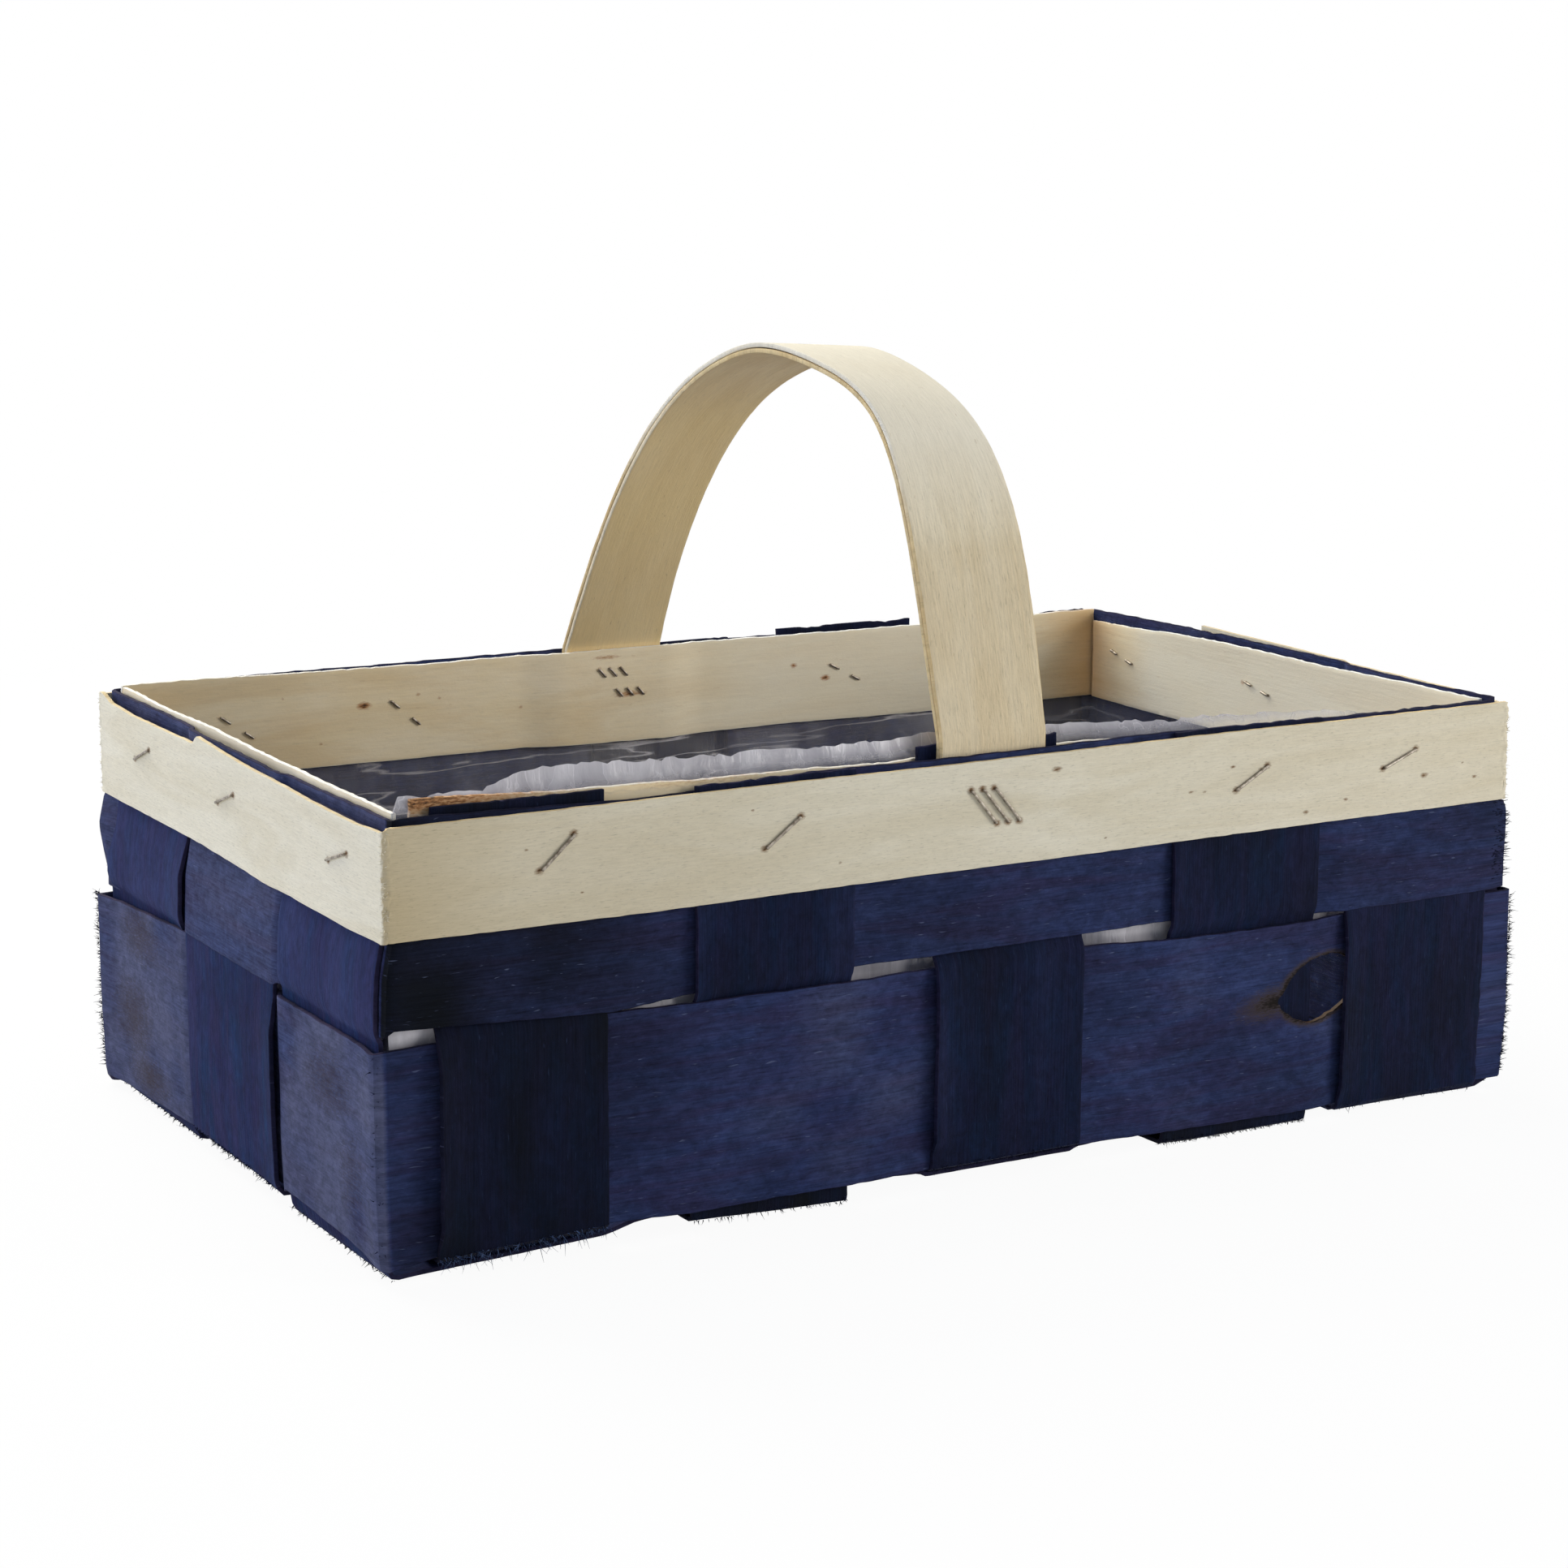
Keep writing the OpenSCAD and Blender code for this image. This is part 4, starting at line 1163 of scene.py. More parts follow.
refine(band, near_mark)
refine(band, lambda s, z: near_fold(s, 2.4) > 0)
rows = places(band)
rows[:, 2] += (0.08 * hills(309, rows[:, 0] / 30, rows[:, 1] / 12)
               + near_fold(rows[:, 0], 2.2) * 0.3 * hills(315, rows[:, 0] / 0.5, rows[:, 1] / 1.0))
move(band, rows)
stain_round(band, [(s, z, 1.5, 1.2, 0.9) for s, z in leg_spots]
            + [(s, z, size * 2.2, size * 1.1, 0.8) for s, z, size in specks])
thicken(band, SHEET, BAND, PALE_CUT)
fold(band, band_route, RING_PLANE, 2, 1)
# The tone paints shade on the front towards its left end and leaves the other walls a little paler.
finish(band, "rim_veneer", "outer_rim_band",
       tone=lambda x, y, z: np.where(y < -87, listed(x, FRONT_BAND_SHADE), 0.15)
       + 0.12 * hills(317, x / 30 + y / 30, z / 9))

# %% [markdown]
# Four short bands close the rim on the inside. The front one stands higher on the left, where
# its end is cut short and stained. Two of them bend round the feet of the handle, and the
# staples' legs have left brown marks on them.

# %% Round the feet of the handle
HANDLE_W = 27.9
FOOT_X = {FRONT: 0.1, BACK: -10.4}
BULGE = HANDLE_W / 2


def bulge(side, depth, span):
    """Stations round a foot of the handle, left end first."""
    out = (0, side)
    near, far = side * (WALL_Y + depth), side * (WALL_Y + depth - HANDLE_STACK)
    return [station((span[0] - BULGE, near), out), station((span[0], far), out),
            station((span[1], far), out), station((span[1] + BULGE, near), out)]


FRONT_SPAN = (min(CROSS_LOW[2], FOOT_X[FRONT] - HANDLE_W / 2) - GAP,
              max(CROSS_HIGH[2], FOOT_X[FRONT] + HANDLE_W / 2) + GAP)
BACK_SPAN = (FOOT_X[BACK] - HANDLE_W / 2 - GAP, FOOT_X[BACK] + HANDLE_W / 2 + GAP)
print("feet between", [round(x, 1) for x in FRONT_SPAN + BACK_SPAN], "mm")

# %% Inner bands
INNER_SPECKS = {BACK: [(-81.7, 91.3, 1.7, 0.8, 1.1), (-66.5, 93, 0.6, 0.4, 0.6),
                       (-60.8, 91.7, 0.5, 0.4, 0.6), (-36.5, 87.3, 0.5, 0.5, 0.6),
                       (-93.9, 82.5, 0.5, 0.4, 0.5), (55.6, 87.7, 1.3, 0.7, 1.0),
                       (-104, 95, 0.4, 0.4, 0.5), (46, 91.8, 0.9, 0.6, 0.8),
                       (-6, 88.7, 4.0, 0.7, 0.75), (-13.3, 99.0, 3.6, 0.5, 0.6)],
                RIGHT: [(12, 90, 0.8, 0.7, 0.5)]}


def inner_band(name, stations, head, foot, seed, tone):
    """One inner band. head and foot list how far its edges lie off their even lines."""
    side, route = SIDES[name], route_through(stations)
    low_cut, high_cut = hand_cut(seed, 0.15), hand_cut(seed + 2, 0.3, 30, 1.6)
    piece = flat_sheet(f"inner_band_{name}", route.length,
                       lambda s: INNER_LOW + listed(s, foot) + low_cut(s),
                       lambda s: INNER_TOP + listed(s, head) + high_cut(s), 1.3,
                       lift=lambda s, y, v: 0.08 * hills(seed + 4, s / 35, y / 15),
                       ends=[hand_cut(seed + more, 0.3, 8, 1) for more in (6, 7)],
                       shift=(seed * 0.21, seed * 0.11))
    spots = [(a, z, 0.7, 0.5, 0.3) for a, z in LEGS[side]] + INNER_SPECKS.get(side, [])
    spots = [(route.nearest(wall_of[side](a)), z, wide, tall, strength)
             for a, z, wide, tall, strength in spots]
    refine(piece, lambda s, z: np.any([np.hypot(s - x, z - y) < 1.5 + max(wide, tall)
                                       for x, y, wide, tall, strength in spots], axis=0))
    stain_round(piece, [(x, y, 1.6 * wide, 1.6 * tall, strength)
                        for x, y, wide, tall, strength in spots])
    if name == "front":
        stain_round(piece, [(0, INNER_TOP + 2.6, 46, 4.4, 0.85),
                            (24, INNER_TOP + 2.6, 18, 1.6, 0.7),
                            (70, INNER_TOP + 1, 26, 2.0, 0.3)], 0.7)
    thicken(piece, SHEET, INNER_BAND, BRIGHT_CUT)
    fold(piece, route, RING_PLANE, 2, 1)
    return finish(piece, "rim_veneer", f"inner_rim_{name}", tone=tone)


def corner_shade_tone(x, y, z):
    """Painted shade: deeper golden colour near the back right corner, where two bands meet. Paler
    on the right band and towards the right end of the back band.
    """
    deep = nearness(np.hypot(x - 143, (y - 81) * 1.2), 34)
    pale = np.where(x > 140, 0.8, np.minimum(grow(x, -20, 80), 0.6))
    return pale * (1 - deep) - 0.6 * deep + 0.12 * hills(433, x / 20, z / 8)


END_X = WALL_X + FILM_DEPTH - BEND_R
END_Y = WALL_Y + FILM_DEPTH - BEND_R
inner_y, inner_x = WALL_Y + INNER_DEPTH, WALL_X + INNER_DEPTH
inner_band("front", [station((-END_X + 2.5, -inner_y), FRONT)] + bulge(-1, INNER_DEPTH, FRONT_SPAN)
           + [station((END_X, -inner_y), FRONT)],
           [(0, 3.1), (12, 2.8), (35, 1.9), (55, 1.2), (67, 0.6), (110, 0.4), (180, -0.4),
            (290, -1.8)],
           [(0, 2.0), (150, 0), (290, -2.0)], 410, lambda x, y, z: 0 * x)
inner_band("back", [station((END_X + 0.9, inner_y), BACK)] + bulge(1, INNER_DEPTH, BACK_SPAN)[::-1]
           + [station((-END_X - 0.9, inner_y), BACK)],
           [(0, 0.3), (58, 0.1), (169, 0.8), (236, 1.0), (288, 1.5)],
           [(0, -0.7), (76, -0.7), (97, -0.3), (137, -0.3), (288, 0.6)], 430, corner_shade_tone)
inner_band("left", [station((-inner_x, END_Y - 1.0), LEFT), station((-inner_x, -END_Y), LEFT)],
           [(0, 1.1), (30, 1.2), (82, 0.7), (130, 0.3), (165, 0.2)], [(0, 0), (166, 0)], 450,
           lambda x, y, z: 0.3 + 0 * x)
inner_band("right", [station((inner_x, -END_Y), RIGHT), station((inner_x, END_Y - 1.0), RIGHT)],
           [(0, 0), (70, -0.6), (106, -0.9), (140, -1.9), (166, -2.7)], [(0, -1), (166, -1)], 470,
           corner_shade_tone)

# %% [markdown]
# The handle is two plies of the same wood, bent together while wet. It has dried a little
# twisted, so its left and right edges follow two different arches, each of two curves, and the
# strip is laid between them. The back foot also stands further left than the front one.

# %% Handle
FOOT_Y = {FRONT: -(WALL_Y + LAY - VENEER / 2 - GAP - VENEER - GAP / 2),
          BACK: WALL_Y - (LAY + VENEER / 2 + GAP) - VENEER - GAP / 2}
FOOT_Z = {FRONT: levels("cross_strip_3")[1] + GAP, BACK: WALL_TOP}


def curve(a, b, c, d, steps=50):
    """Points of a soft curve from a to d, drawn towards b and c."""
    t = np.linspace(0, 1, steps)[:, None]
    a, b, c, d = (np.array(x, float) for x in (a, b, c, d))
    return list(a * (1 - t) ** 3 + 3 * b * t * (1 - t) ** 2 + 3 * c * t * t * (1 - t) + d * t ** 3)


def arch(lean_front, pull_front, ease_front, crown, ease_back, lean_back, pull_back):
    """One edge of the handle, from the front tongue's end to the back one's."""
    front, rear = (np.array((FOOT_Y[side], FOOT_Z[side])) for side in (FRONT, BACK))
    first, last = math.radians(lean_front), math.radians(lean_back)
    points = [np.array((front[0], z)) for z in np.linspace(TONGUE_LOW, front[1], 20)[:-1]]
    points += curve(front, front + pull_front * np.array((math.sin(first), math.cos(first))),
                    (crown[0] - ease_front * (crown[0] - front[0]), crown[1]), crown)
    points += curve(crown, (crown[0] + ease_back * (rear[0] - crown[0]), crown[1]),
                    rear + pull_back * np.array((-math.sin(last), math.cos(last))), rear)[1:]
    points += [np.array((rear[0], z)) for z in np.linspace(rear[1], TONGUE_LOW, 20)[1:]]
    return Line(points, np.array((-1.0, 0.0)))


LEFT_ARCH = arch(15.9, 69.1, 0.780, (-12.1, 184.6), 0.529, 29.2, 36.9)
RIGHT_ARCH = arch(12.0, 45.1, 0.838, (-8.8, 182.6), 0.668, 20.5, 16.4)


def handle_ply(name, side, node, material, seed, back_tone):
    """One ply, laid between both arches. side is 1 for the outer one and -1 for the inner."""
    half, length = HANDLE_W / 2, LEFT_ARCH.length

    def spring(s, y, v):
        middle = nearness(np.abs(s / length - 0.47), 0.25)
        return (side * STEP / 2 + 0.3 * side * middle ** 2 * (1.2 - v)
                + 0.06 * hills(seed, s / 22, y / 12))

    piece = flat_sheet(name, length, lambda s: -half + hand_cut(seed, 0.12)(s),
                       lambda s: half + hand_cut(seed + 1, 0.12)(s), 1.0, lift=spring,
                       shift=(seed * 0.13, seed * 0.29))
    thicken(piece, SHEET + 0.05, material, PALE_CUT, bevel=0.2)
    rows = places(piece)
    share = (0.5 - rows[:, 1] / HANDLE_W)[:, None]
    (left, left_out), (right, right_out) = (
        line.at(rows[:, 0] * line.length / length) for line in (LEFT_ARCH, RIGHT_ARCH))
    out = left_out * (1 - share) + right_out * share
    bent = left * (1 - share) + right * share + out * rows[:, 2:]
    bent[:, 1] += 2.1 * np.exp(-((bent[:, 0] + 13) / 20.5) ** 2)
    skew = (bent[:, 0] - FOOT_Y[FRONT]) / (FOOT_Y[BACK] - FOOT_Y[FRONT])
    shift = FOOT_X[FRONT] + (FOOT_X[BACK] - FOOT_X[FRONT]) * skew
    move(piece, np.stack([shift - rows[:, 1], bent[:, 0], bent[:, 1]], 1))
    # On the outer ply the tone is a painted highlight: paler towards the crown, where light falls
    # from above, and a little deeper below it.
    return finish(piece, "handle_veneer", node,
                  tone=lambda x, y, z: back_tone * grow(y, 10, 40)
                  + (side > 0) * (1.3 * grow(z, 145, 25) - 0.3)
                  + 0.15 * hills(seed + 3, y / 12, z / 30))


handle_ply("handle_ply_outer", 1, "handle_outer_ply", HANDLE, 510, 0.0)
handle_ply("handle_ply_inner", -1, "handle_inner_ply", HANDLE_IN, 530, 0.6)

# %% [markdown]
# The staples keep their solids from the frame. They only need a finish: zinc-grey wire, a
# little tarnished, with a fine relief.

# %% Staple wire


def wire_material():
    material, tree, shader = new_material("staple_wire")
    tarnish = noise(tree, own_place(tree), 3.0, 0.6, 0.2, 900.0)
    dress(tree, shader, {
        "Base Color": mix(tree, ramp(tree, tarnish, 0.35, 0.65), paint(104, 94, 82),
                          paint(176, 168, 156)),
        "Roughness": ramp(tree, tarnish, 0.3, 0.7, 0.5, 0.3),
        "Metallic": 0.85,
        "Normal": relief(tree, tarnish, 0.2, 0.0001)})
    return material


WIRE_METAL = wire_material()
for name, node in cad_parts.items():
    if "staples" in name:
        node.data.materials.clear()
        node.data.materials.append(WIRE_METAL)
        print("wire on", name)

# %% [markdown]
# The liner is a thin clear film. It is stapled in under the inner bands, hangs loose below
# them, and its ragged edge sticks up along the front. A grid for the bottom is extruded upwards
# ring by ring, and each ring is then laid along the wall with soft wrinkles. Such film is seen
# only where it is creased, folded double or lies against the light, so an attribute called
# "milk" says how much of it shows. A second attribute says where fine bright lines cross it:
# these are painted highlights on the creases, and soft streaks in the milk are painted
# highlights too. The milk is highest at the slit between the two weavers, as a painted glow
# where daylight comes through.

# %% Film material


def film_material():
    material, tree, shader = new_material("clear_film")
    spot = own_place(tree)
    hanging = add(tree, "ShaderNodeMapping", {"Vector": spot, "Scale": (150, 150, 34)}).outputs[0]
    sloping = add(tree, "ShaderNodeMapping", {"Vector": spot, "Rotation": (0, 0.3, 0),
                                              "Scale": (13, 13, 105)}).outputs[0]
    haze = noise(tree, hanging, 5.0, 0.6, 0.5)

    def line(vector, width):
        """A thin line where soft noise crosses its middle."""
        off = maths(tree, "SUBTRACT", noise(tree, vector, 3.0, 0.55, 0.5), 0.5)
        return ramp(tree, maths(tree, "ABSOLUTE", off, 0.0), 0.0, width, 1.0, 0.0)

    cloudy = maths(tree, "ADD", ramp(tree, haze, 0.35, 0.65, 0.84, 1.12),
                   maths(tree, "MULTIPLY", line(hanging, 0.012), 0.45))
    # Painted highlights: thin bright lines along the creases add to the alpha, in place of
    # reflections on the wrinkled film.
    highlight_streak = maths(tree, "MULTIPLY", attribute(tree, "crease_highlight"), line(sloping, 0.02))
    veiled = maths(tree, "MULTIPLY", attribute(tree, "milk"), cloudy)
    dress(tree, shader, {
        "Base Color": mix(tree, haze, paint(180, 176, 184), paint(226, 224, 228)),
        "Alpha": maths(tree, "ADD", veiled, highlight_streak),
        "Roughness": ramp(tree, haze, 0.3, 0.7, 0.2, 0.35),
        "Specular IOR Level": 0.5,
        "Normal": relief(tree, haze, 0.45, 0.001)})
    return material


FILM = film_material()
print("film:", FILM.name)

# %% Film grid with rings
RINGS = 44
FILM_LOW = levels("liner_film")[0] + GAP
FILM_X, FILM_Y = WALL_X + FILM_DEPTH, WALL_Y + FILM_DEPTH


def film_ring():
    """The line that the film follows along the wall and round the feet of the handle."""
    stations = fold_arc((-FILM_X, -FILM_Y), LEFT, FRONT, BEND_R)
    stations += bulge(-1, FILM_DEPTH, FRONT_SPAN)
    stations += fold_arc((FILM_X, -FILM_Y), FRONT, RIGHT, BEND_R)
    stations += fold_arc((FILM_X, FILM_Y), RIGHT, BACK, BEND_R)
    stations += bulge(1, FILM_DEPTH, BACK_SPAN)[::-1]
    stations += fold_arc((-FILM_X, FILM_Y), BACK, LEFT, BEND_R)
    return route_through(stations + [stations[0]])


film_way = film_ring()
deselect()
bpy.ops.mesh.primitive_grid_add(x_subdivisions=200, y_subdivisions=110, size=1)
film = bpy.context.object
film.name = film.data.name = "film_liner"
rows = places(film)
move(film, rows * np.array([2 * (FILM_X - 1), 2 * (FILM_Y - 1), 1]))
bpy.ops.object.mode_set(mode="EDIT")
bpy.ops.mesh.select_all(action="SELECT")
bpy.ops.mesh.region_to_loop()
for ring in range(RINGS):
    bpy.ops.mesh.extrude_region_move(TRANSFORM_OT_translate={"value": (0, 0, 1)})
bpy.ops.object.mode_set(mode="OBJECT")
print("film:", len(film.data.vertices), "vertices, with", RINGS, "rings")

# %% Wrinkles of the film
FILM_EDGE = [(-151, 103.5), (-143, 105.6), (-140, 104.4), (-131, 104.9), (-125, 103.8),
             (-118, 107.2), (-110, 107.7), (-77, 107.2), (-44, 106.1), (-15, 106.1), (14, 105.6),
             (35, 104.7), (57, 103.8), (86, 102.7), (98, 102.0), (112, 99.0), (150, 98.0)]
FLAP_Y = 52
rows = places(film)
share = rows[:, 2] / RINGS
wall = share > 0.001
flat_x, flat_y = rows[:, 0].copy(), rows[:, 1].copy()
ring_way = np.array([film_way.way[np.argmin(np.hypot(*(film_way.points - (x, y)).T))]
                     for x, y in zip(flat_x, flat_y)])
point, out = film_way.at(ring_way)
front_side = (out[:, 1] < -0.7) & wall
flap = (out[:, 0] < -0.7) & wall & (np.abs(flat_y - FLAP_Y) < 3)
rest = BAND_TOP - 1.5 + 0.5 * hills(601, ring_way / 7)
torn = 0.5 * hills(603, ring_way / 9) - 0.9 * np.abs(hills(604, ring_way / 2.2))
peak = np.where(front_side, np.maximum(rest, listed(flat_x, FILM_EDGE) + torn), rest)
peak = np.where(flap, INNER_TOP + 3.2 + torn, peak)
height = FILM_LOW + (peak - FILM_LOW) * share
loose = fade(height, INNER_LOW, 14) * grow(height, 2, 10)
fold_wave = hills(607, ring_way / 26 + height / 60, height / 34 + ring_way / 90)
fine_wave = hills(609, ring_way / 9 - height / 24, height / 13)
inward = loose * (2.6 + 2.2 * fold_wave - 1.5 * np.abs(fine_wave))
free = np.clip((height - INNER_TOP - 0.3) / 3.5, 0, 1) * front_side
inward += free * (2.2 + 0.8 * np.abs(hills(611, ring_way / 14, height / 14))
                  - 0.25 * np.abs(hills(613, ring_way / 3.4, height / 10)))
height -= free * 0.6
spread = point - out * inward[:, None]
rows[:, 0] = np.where(wall, spread[:, 0], flat_x)
rows[:, 1] = np.where(wall, spread[:, 1], flat_y)
border = np.minimum(WALL_X - np.abs(flat_x), WALL_Y - np.abs(flat_y))
floor_wave = grow(border, 4, 25) * (0.9 + 0.8 * hills(615, flat_x / 30, flat_y / 22)
                                    + 0.4 * hills(617, flat_x / 8 + flat_y / 19, flat_y / 11))
rows[:, 2] = np.where(wall, height, FILM_LOW + floor_wave) + 3.3 * lift_share(flat_y, height)
move(film, rows)
print("film up to", round(float(rows[:, 2].max()), 1), "mm")

# %% Milk and painted highlights of the film
SLIT_Z = 53.5
# Painted highlights: soft diagonal streaks make the folded film on the walls whiter.
sheen_streaks = 0.16 * np.clip(hills(625, ring_way / 34, height / 20), 0, 1)
# Painted glow: the film is made whiter and more opaque round the slit between the weavers, where
# daylight comes through.
slit = nearness(np.abs(height - SLIT_Z), 6) * wall * 1.2
edge_line = grow(share, 0.965, 0.03) * front_side
veil = listed(flat_x, [(-122, 1.1), (10, 0.95), (22, 0.8), (60, 0.55), (110, 0.3), (150, 0.3)])
folded = grow(height, 44, 10) * fade(height, INNER_LOW + 2, 3) * ~front_side
standing = free * (0.36 + 0.3 * np.abs(hills(627, ring_way / 9, height / 12)))
milk = (0.006 + folded * (0.1 + sheen_streaks) + np.clip(slit, 0, 0.95)
        + standing * veil + 0.4 * edge_line * veil)
mark(film, "milk", np.clip(milk, 0.005, 1.0))
# Painted highlights: fine bright lines on the folded film, where its creases would catch the light.
mark(film, "crease_highlight",
     folded * (0.16 + 0.7 * np.clip(hills(629, ring_way / 26, height / 30), 0, 1)))
pick(film)
bpy.ops.object.mode_set(mode="EDIT")
face_outwards()
film.data.materials.append(FILM)
apply_modifier(film, "SOLIDIFY", thickness=0.06, offset=0)
finish(film, "film", "liner_film", smooth=60)

# %% [markdown]
# Where thin wood is folded hard, its outer fibres tear and stand off. One sliver is modelled
# once: a triangle extruded four times, thinner each time. Its copies are stretched and bent,
# each rooted on the outside of a fold, and joined into one piece for each kind of wood.

# %% One sliver
deselect()
bpy.ops.mesh.primitive_circle_add(vertices=3, radius=0.1, fill_type="NGON")
sliver = bpy.context.object
sliver.name = "sliver"
bpy.ops.object.mode_set(mode="EDIT")
for scale in (0.85, 0.75, 0.6, 0.35):
    bpy.ops.mesh.select_all(action="DESELECT")
    bpy.ops.object.mode_set(mode="OBJECT")
    tip = max(v.co.z for v in sliver.data.vertices)
    for polygon in sliver.data.polygons:
        polygon.select = all(sliver.data.vertices[i].co.z > tip - 0.01 for i in polygon.vertices)
    bpy.ops.object.mode_set(mode="EDIT")
    bpy.ops.mesh.extrude_region_move(TRANSFORM_OT_translate={"value": (0, 0, 0.25)})
    bpy.ops.transform.resize(value=(scale, scale, 1))
face_outwards()
print("sliver:", len(sliver.data.vertices), "vertices")

# %% Torn fibres


def fringe(name, seed, folds, material, slot, lift=None):
    """Slivers on folds. A fold is a corner, two outward ways, a radius, a run along it, a count,
    a length, a lean and how thick the slivers are."""
    random = np.random.default_rng(seed)
    deselect()
    made = []
    for corner, first, second, radius, run, count, reach, lean, thick in folds:
        corner, first, second, run = (np.array(x, float) for x in (corner, first, second, run))
        for share in np.sort(random.uniform(0, 1, count)):
            turn = random.uniform(0.1, 1.47)
            way = first * math.cos(turn) + second * math.sin(turn)
            root = (corner - (first + second) * radius + way * (radius + SHEET / 2 - 0.05)
                    + run * share)
            heading = Vector(way + np.array(lean)) + Vector(random.normal(0, 0.35, 3))
            size = float(reach * random.uniform(0.3, 1.0) ** 1.6)
            copy = sliver.copy()
            copy.data = sliver.data.copy()
            bpy.context.scene.collection.objects.link(copy)
            bend = Vector(random.normal(0, 0.35, 3)) * size
            turned = heading.to_track_quat("Z", "Y").to_matrix()
            for vertex in copy.data.vertices:
                flat = vertex.co.copy()
                vertex.co = (Vector(root) + bend * flat.z ** 2
                             + turned @ Vector((flat.x * thick, flat.y * thick, flat.z * size)))
            copy.select_set(True)
            made.append(copy)
    bpy.context.view_layer.objects.active = made[0]
    bpy.ops.object.join()
    piece = bpy.context.object
    piece.name = piece.data.name = name
    piece.data.materials.append(material)
    if lift is not None:
        lift_bottom(piece, lift)
    return finish(piece, slot)


def fibre_material(name, dark, light):
    material, tree, shader = new_material(name)
    shade = noise(tree, own_place(tree), 2.0, 0.5, 0.0, 700.0)
    dress(tree, shader, {
        "Base Color": mix(tree, ramp(tree, shade, 0.4, 0.65), paint(*dark), paint(*light)),
        "Roughness": 0.8,
        "Specular IOR Level": 0.1})
    return material


DARK_FIBRE = fibre_material("dyed_fibre", (10, 13, 30), (34, 38, 66))
BLUE_FIBRE = fibre_material("worn_fibre", (14, 22, 44), (92, 112, 152))
PALE_FIBRE = fibre_material("natural_fibre", (210, 202, 178), (240, 234, 214))
print("fibres:", DARK_FIBRE.name, BLUE_FIBRE.name, PALE_FIBRE.name)

# %% Fibres on the corners
CORNER_COUNTS = ((-1, -1, 26, 10), (-1, 1, 320, 110), (1, -1, 300, 110), (1, 1, 90, 30))
out_x, out_y = WALL_X + LAY, WALL_Y + LAY
in_x, in_y = WALL_X - LAY, WALL_Y - LAY
corners = []
for sx, sy, low_count, high_count in CORNER_COUNTS:
    push = CORNER_PUSH.get((sx, sy), (0, 0))
    corners.append(((sx * out_x + push[0], sy * in_y + push[1], LOWER_LOW), (sx, 0, 0),
                    (0, sy, 0), BEND_R, (0, 0, LOWER_TOP - LOWER_LOW - 2), low_count, 1.5,
                    (0, 0, 0.1), 1.3))
    corners.append(((sx * in_x, sy * out_y, UPPER_LOW), (sx, 0, 0), (0, sy, 0), BEND_R,
                    (0, 0, BAND_LOW - UPPER_LOW), high_count, 1.3, (0, 0, 0.1), 1.2))
fringe("frays_weavers", 701, corners, DARK_FIBRE, "weaver_veneer")

# %% Fibres on the feet and the band


def foot_folds(counts, reach, thick):
    """Folds at the feet of the cross strips on the front."""
    made = []
    for k, count in counts:
        outer = WALL_Y - at_cross(k, LEVEL_LOW)
        made.append(((CROSS_LOW[k], -outer, cross_level(k, 0)), (0, -1, 0), (0, 0, -1), BEND_R,
                     (CROSS_HIGH[k] - CROSS_LOW[k], 0, 0), count, reach, (0, 0, -0.1), thick))
    return made


fringe("frays_feet", 703, foot_folds([(0, 90), (1, 110), (2, 150), (3, 230), (4, 70)], 1.3, 1.1),
       DARK_FIBRE, "stake_veneer", LIFT_CROSS)
fringe("frays_worn_foot", 707, foot_folds([(0, 220)], 3.2, 1.2), BLUE_FIBRE, "stake_veneer",
       LIFT_CROSS)
side_folds = [((side * (WALL_X - at_long(m, LEVEL_LOW)), LONG_LOW[m],
                long_level(0, m) + LEFT_FOOT[m] * (side < 0)), (side, 0, 0), (0, 0, -1), BEND_R,
               (0, LONG_HIGH[m] - LONG_LOW[m], 0), count, 1.4, (0, 0, -0.1), 1.2)
              for side in (-1, 1) for m, count in ((0, 110), (1, 230), (2, 110))]
fringe("frays_sides", 709, side_folds, DARK_FIBRE, "stake_veneer")
fringe("frays_band", 705, [((x, y, BAND_LOW), (np.sign(x), 0, 0), (0, np.sign(y), 0), FOLD_R,
                            (0, 0, BAND_TOP - BAND_LOW - 1), 70, 0.8, (0, 0, 0), 1.2)
                           for x, y in BAND_CORNERS], PALE_FIBRE, "rim_veneer")
bpy.data.objects.remove(sliver)

# %% [markdown]
# The basket stands on white paper. Daylight comes from behind, from
# above and from the left, so the front lies in a soft shade. The camera sees the paper and the
# sky as plain white, as metal and film do in their reflections, and only the light on the
# basket is toned down.

# %% Floor and sky


def white_rays(tree):
    """1 for rays that should see plain white: from the camera, and mirrored or passed on."""
    path = add(tree, "ShaderNodeLightPath").outputs
    mirrored = maths(tree, "MAXIMUM", path["Is Glossy Ray"], path["Is Transmission Ray"])
    return maths(tree, "MAXIMUM", path["Is Camera Ray"], mirrored)


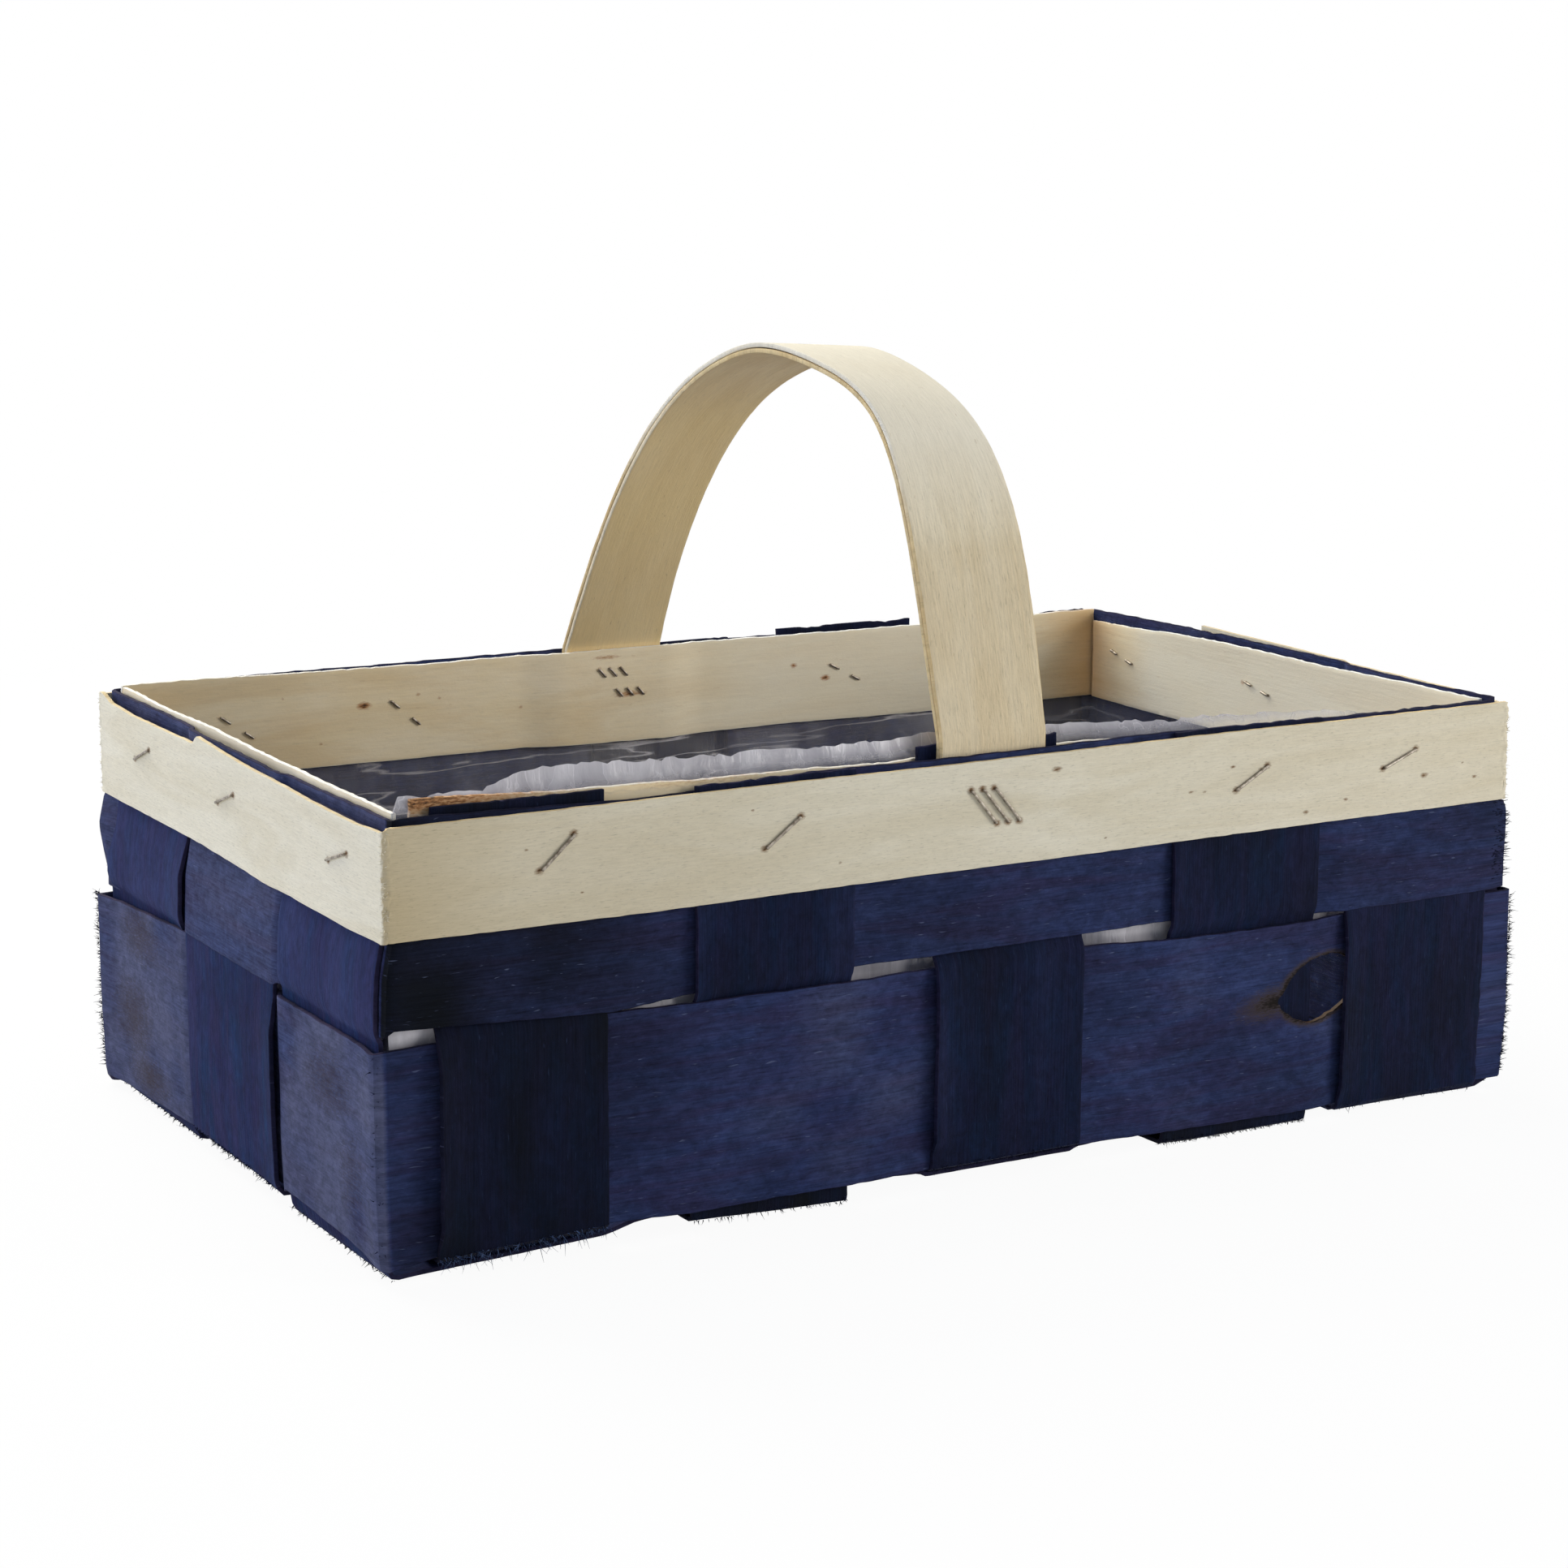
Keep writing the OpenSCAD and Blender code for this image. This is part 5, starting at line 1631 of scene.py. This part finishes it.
def paper():
    material, tree, shader = new_material("white_paper")
    spot = own_place(tree)
    dress(tree, shader, {
        "Base Color": (0.86, 0.86, 0.86, 1),
        "Roughness": 0.9,
        "Normal": relief(tree, noise(tree, spot, 3.0, 0.6, 0.0, 900.0), 0.05, 0.0003)})
    glow = add(tree, "ShaderNodeEmission", {"Strength": 1.0})
    far = add(tree, "ShaderNodeVectorMath", {0: spot}, operation="LENGTH").outputs["Value"]
    share = maths(tree, "MULTIPLY", white_rays(tree), ramp(tree, far, 0.2, 0.7, 0.945, 1.0))
    both = add(tree, "ShaderNodeMixShader", {0: share, 1: shader.outputs[0], 2: glow.outputs[0]})
    tree.links.new(both.outputs[0], tree.nodes["Material Output"].inputs["Surface"])
    return material


deselect()
bpy.ops.mesh.primitive_plane_add(size=6, location=(0, 0, 0))
floor = bpy.context.object
floor.name = "paper_floor"
floor.data.materials.append(paper())
floor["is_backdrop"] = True

world = bpy.data.worlds.new("daylight")
bpy.context.scene.world = world
world.use_nodes = True
sky = world.node_tree
feed(sky, sky.nodes["Background"].inputs["Color"],
     mix(sky, white_rays(sky), (0.205, 0.23, 0.262, 1), (1, 1, 1, 1)))
sky.nodes["Background"].inputs["Strength"].default_value = 1.0
print("paper and sky ready")

# %% Lamps


def lamp(name, spot, aim, size, power, colour=(1, 1, 1)):
    deselect()
    bpy.ops.object.light_add(type="AREA", location=spot)
    light = bpy.context.object
    light.name = name
    light.rotation_euler = (Vector(aim) - Vector(spot)).to_track_quat("-Z", "Y").to_euler()
    light.data.size = size
    light.data.energy = power
    light.data.color = colour


lamp("window_left", (-1.5, 0.1, 0.55), (0, 0, 0.06), 0.9, 7.2, (0.68, 0.75, 1.0))
lamp("sky_behind", (-0.3, 1.2, 1.0), (0, 0, 0.08), 1.0, 22.0, (1.0, 0.96, 0.84))
lamp("sky_above", (-0.1, 0.3, 1.6), (0, 0, 0.08), 1.1, 8.0)
lamp("window_right", (0.75, -0.75, 0.35), (0.12, 0, 0.08), 0.5, 5.4, (1.0, 0.97, 0.94))

# %% Size of the scene
low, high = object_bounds()
print("visual box", [round(x, 4) for x in low], [round(x, 4) for x in high])
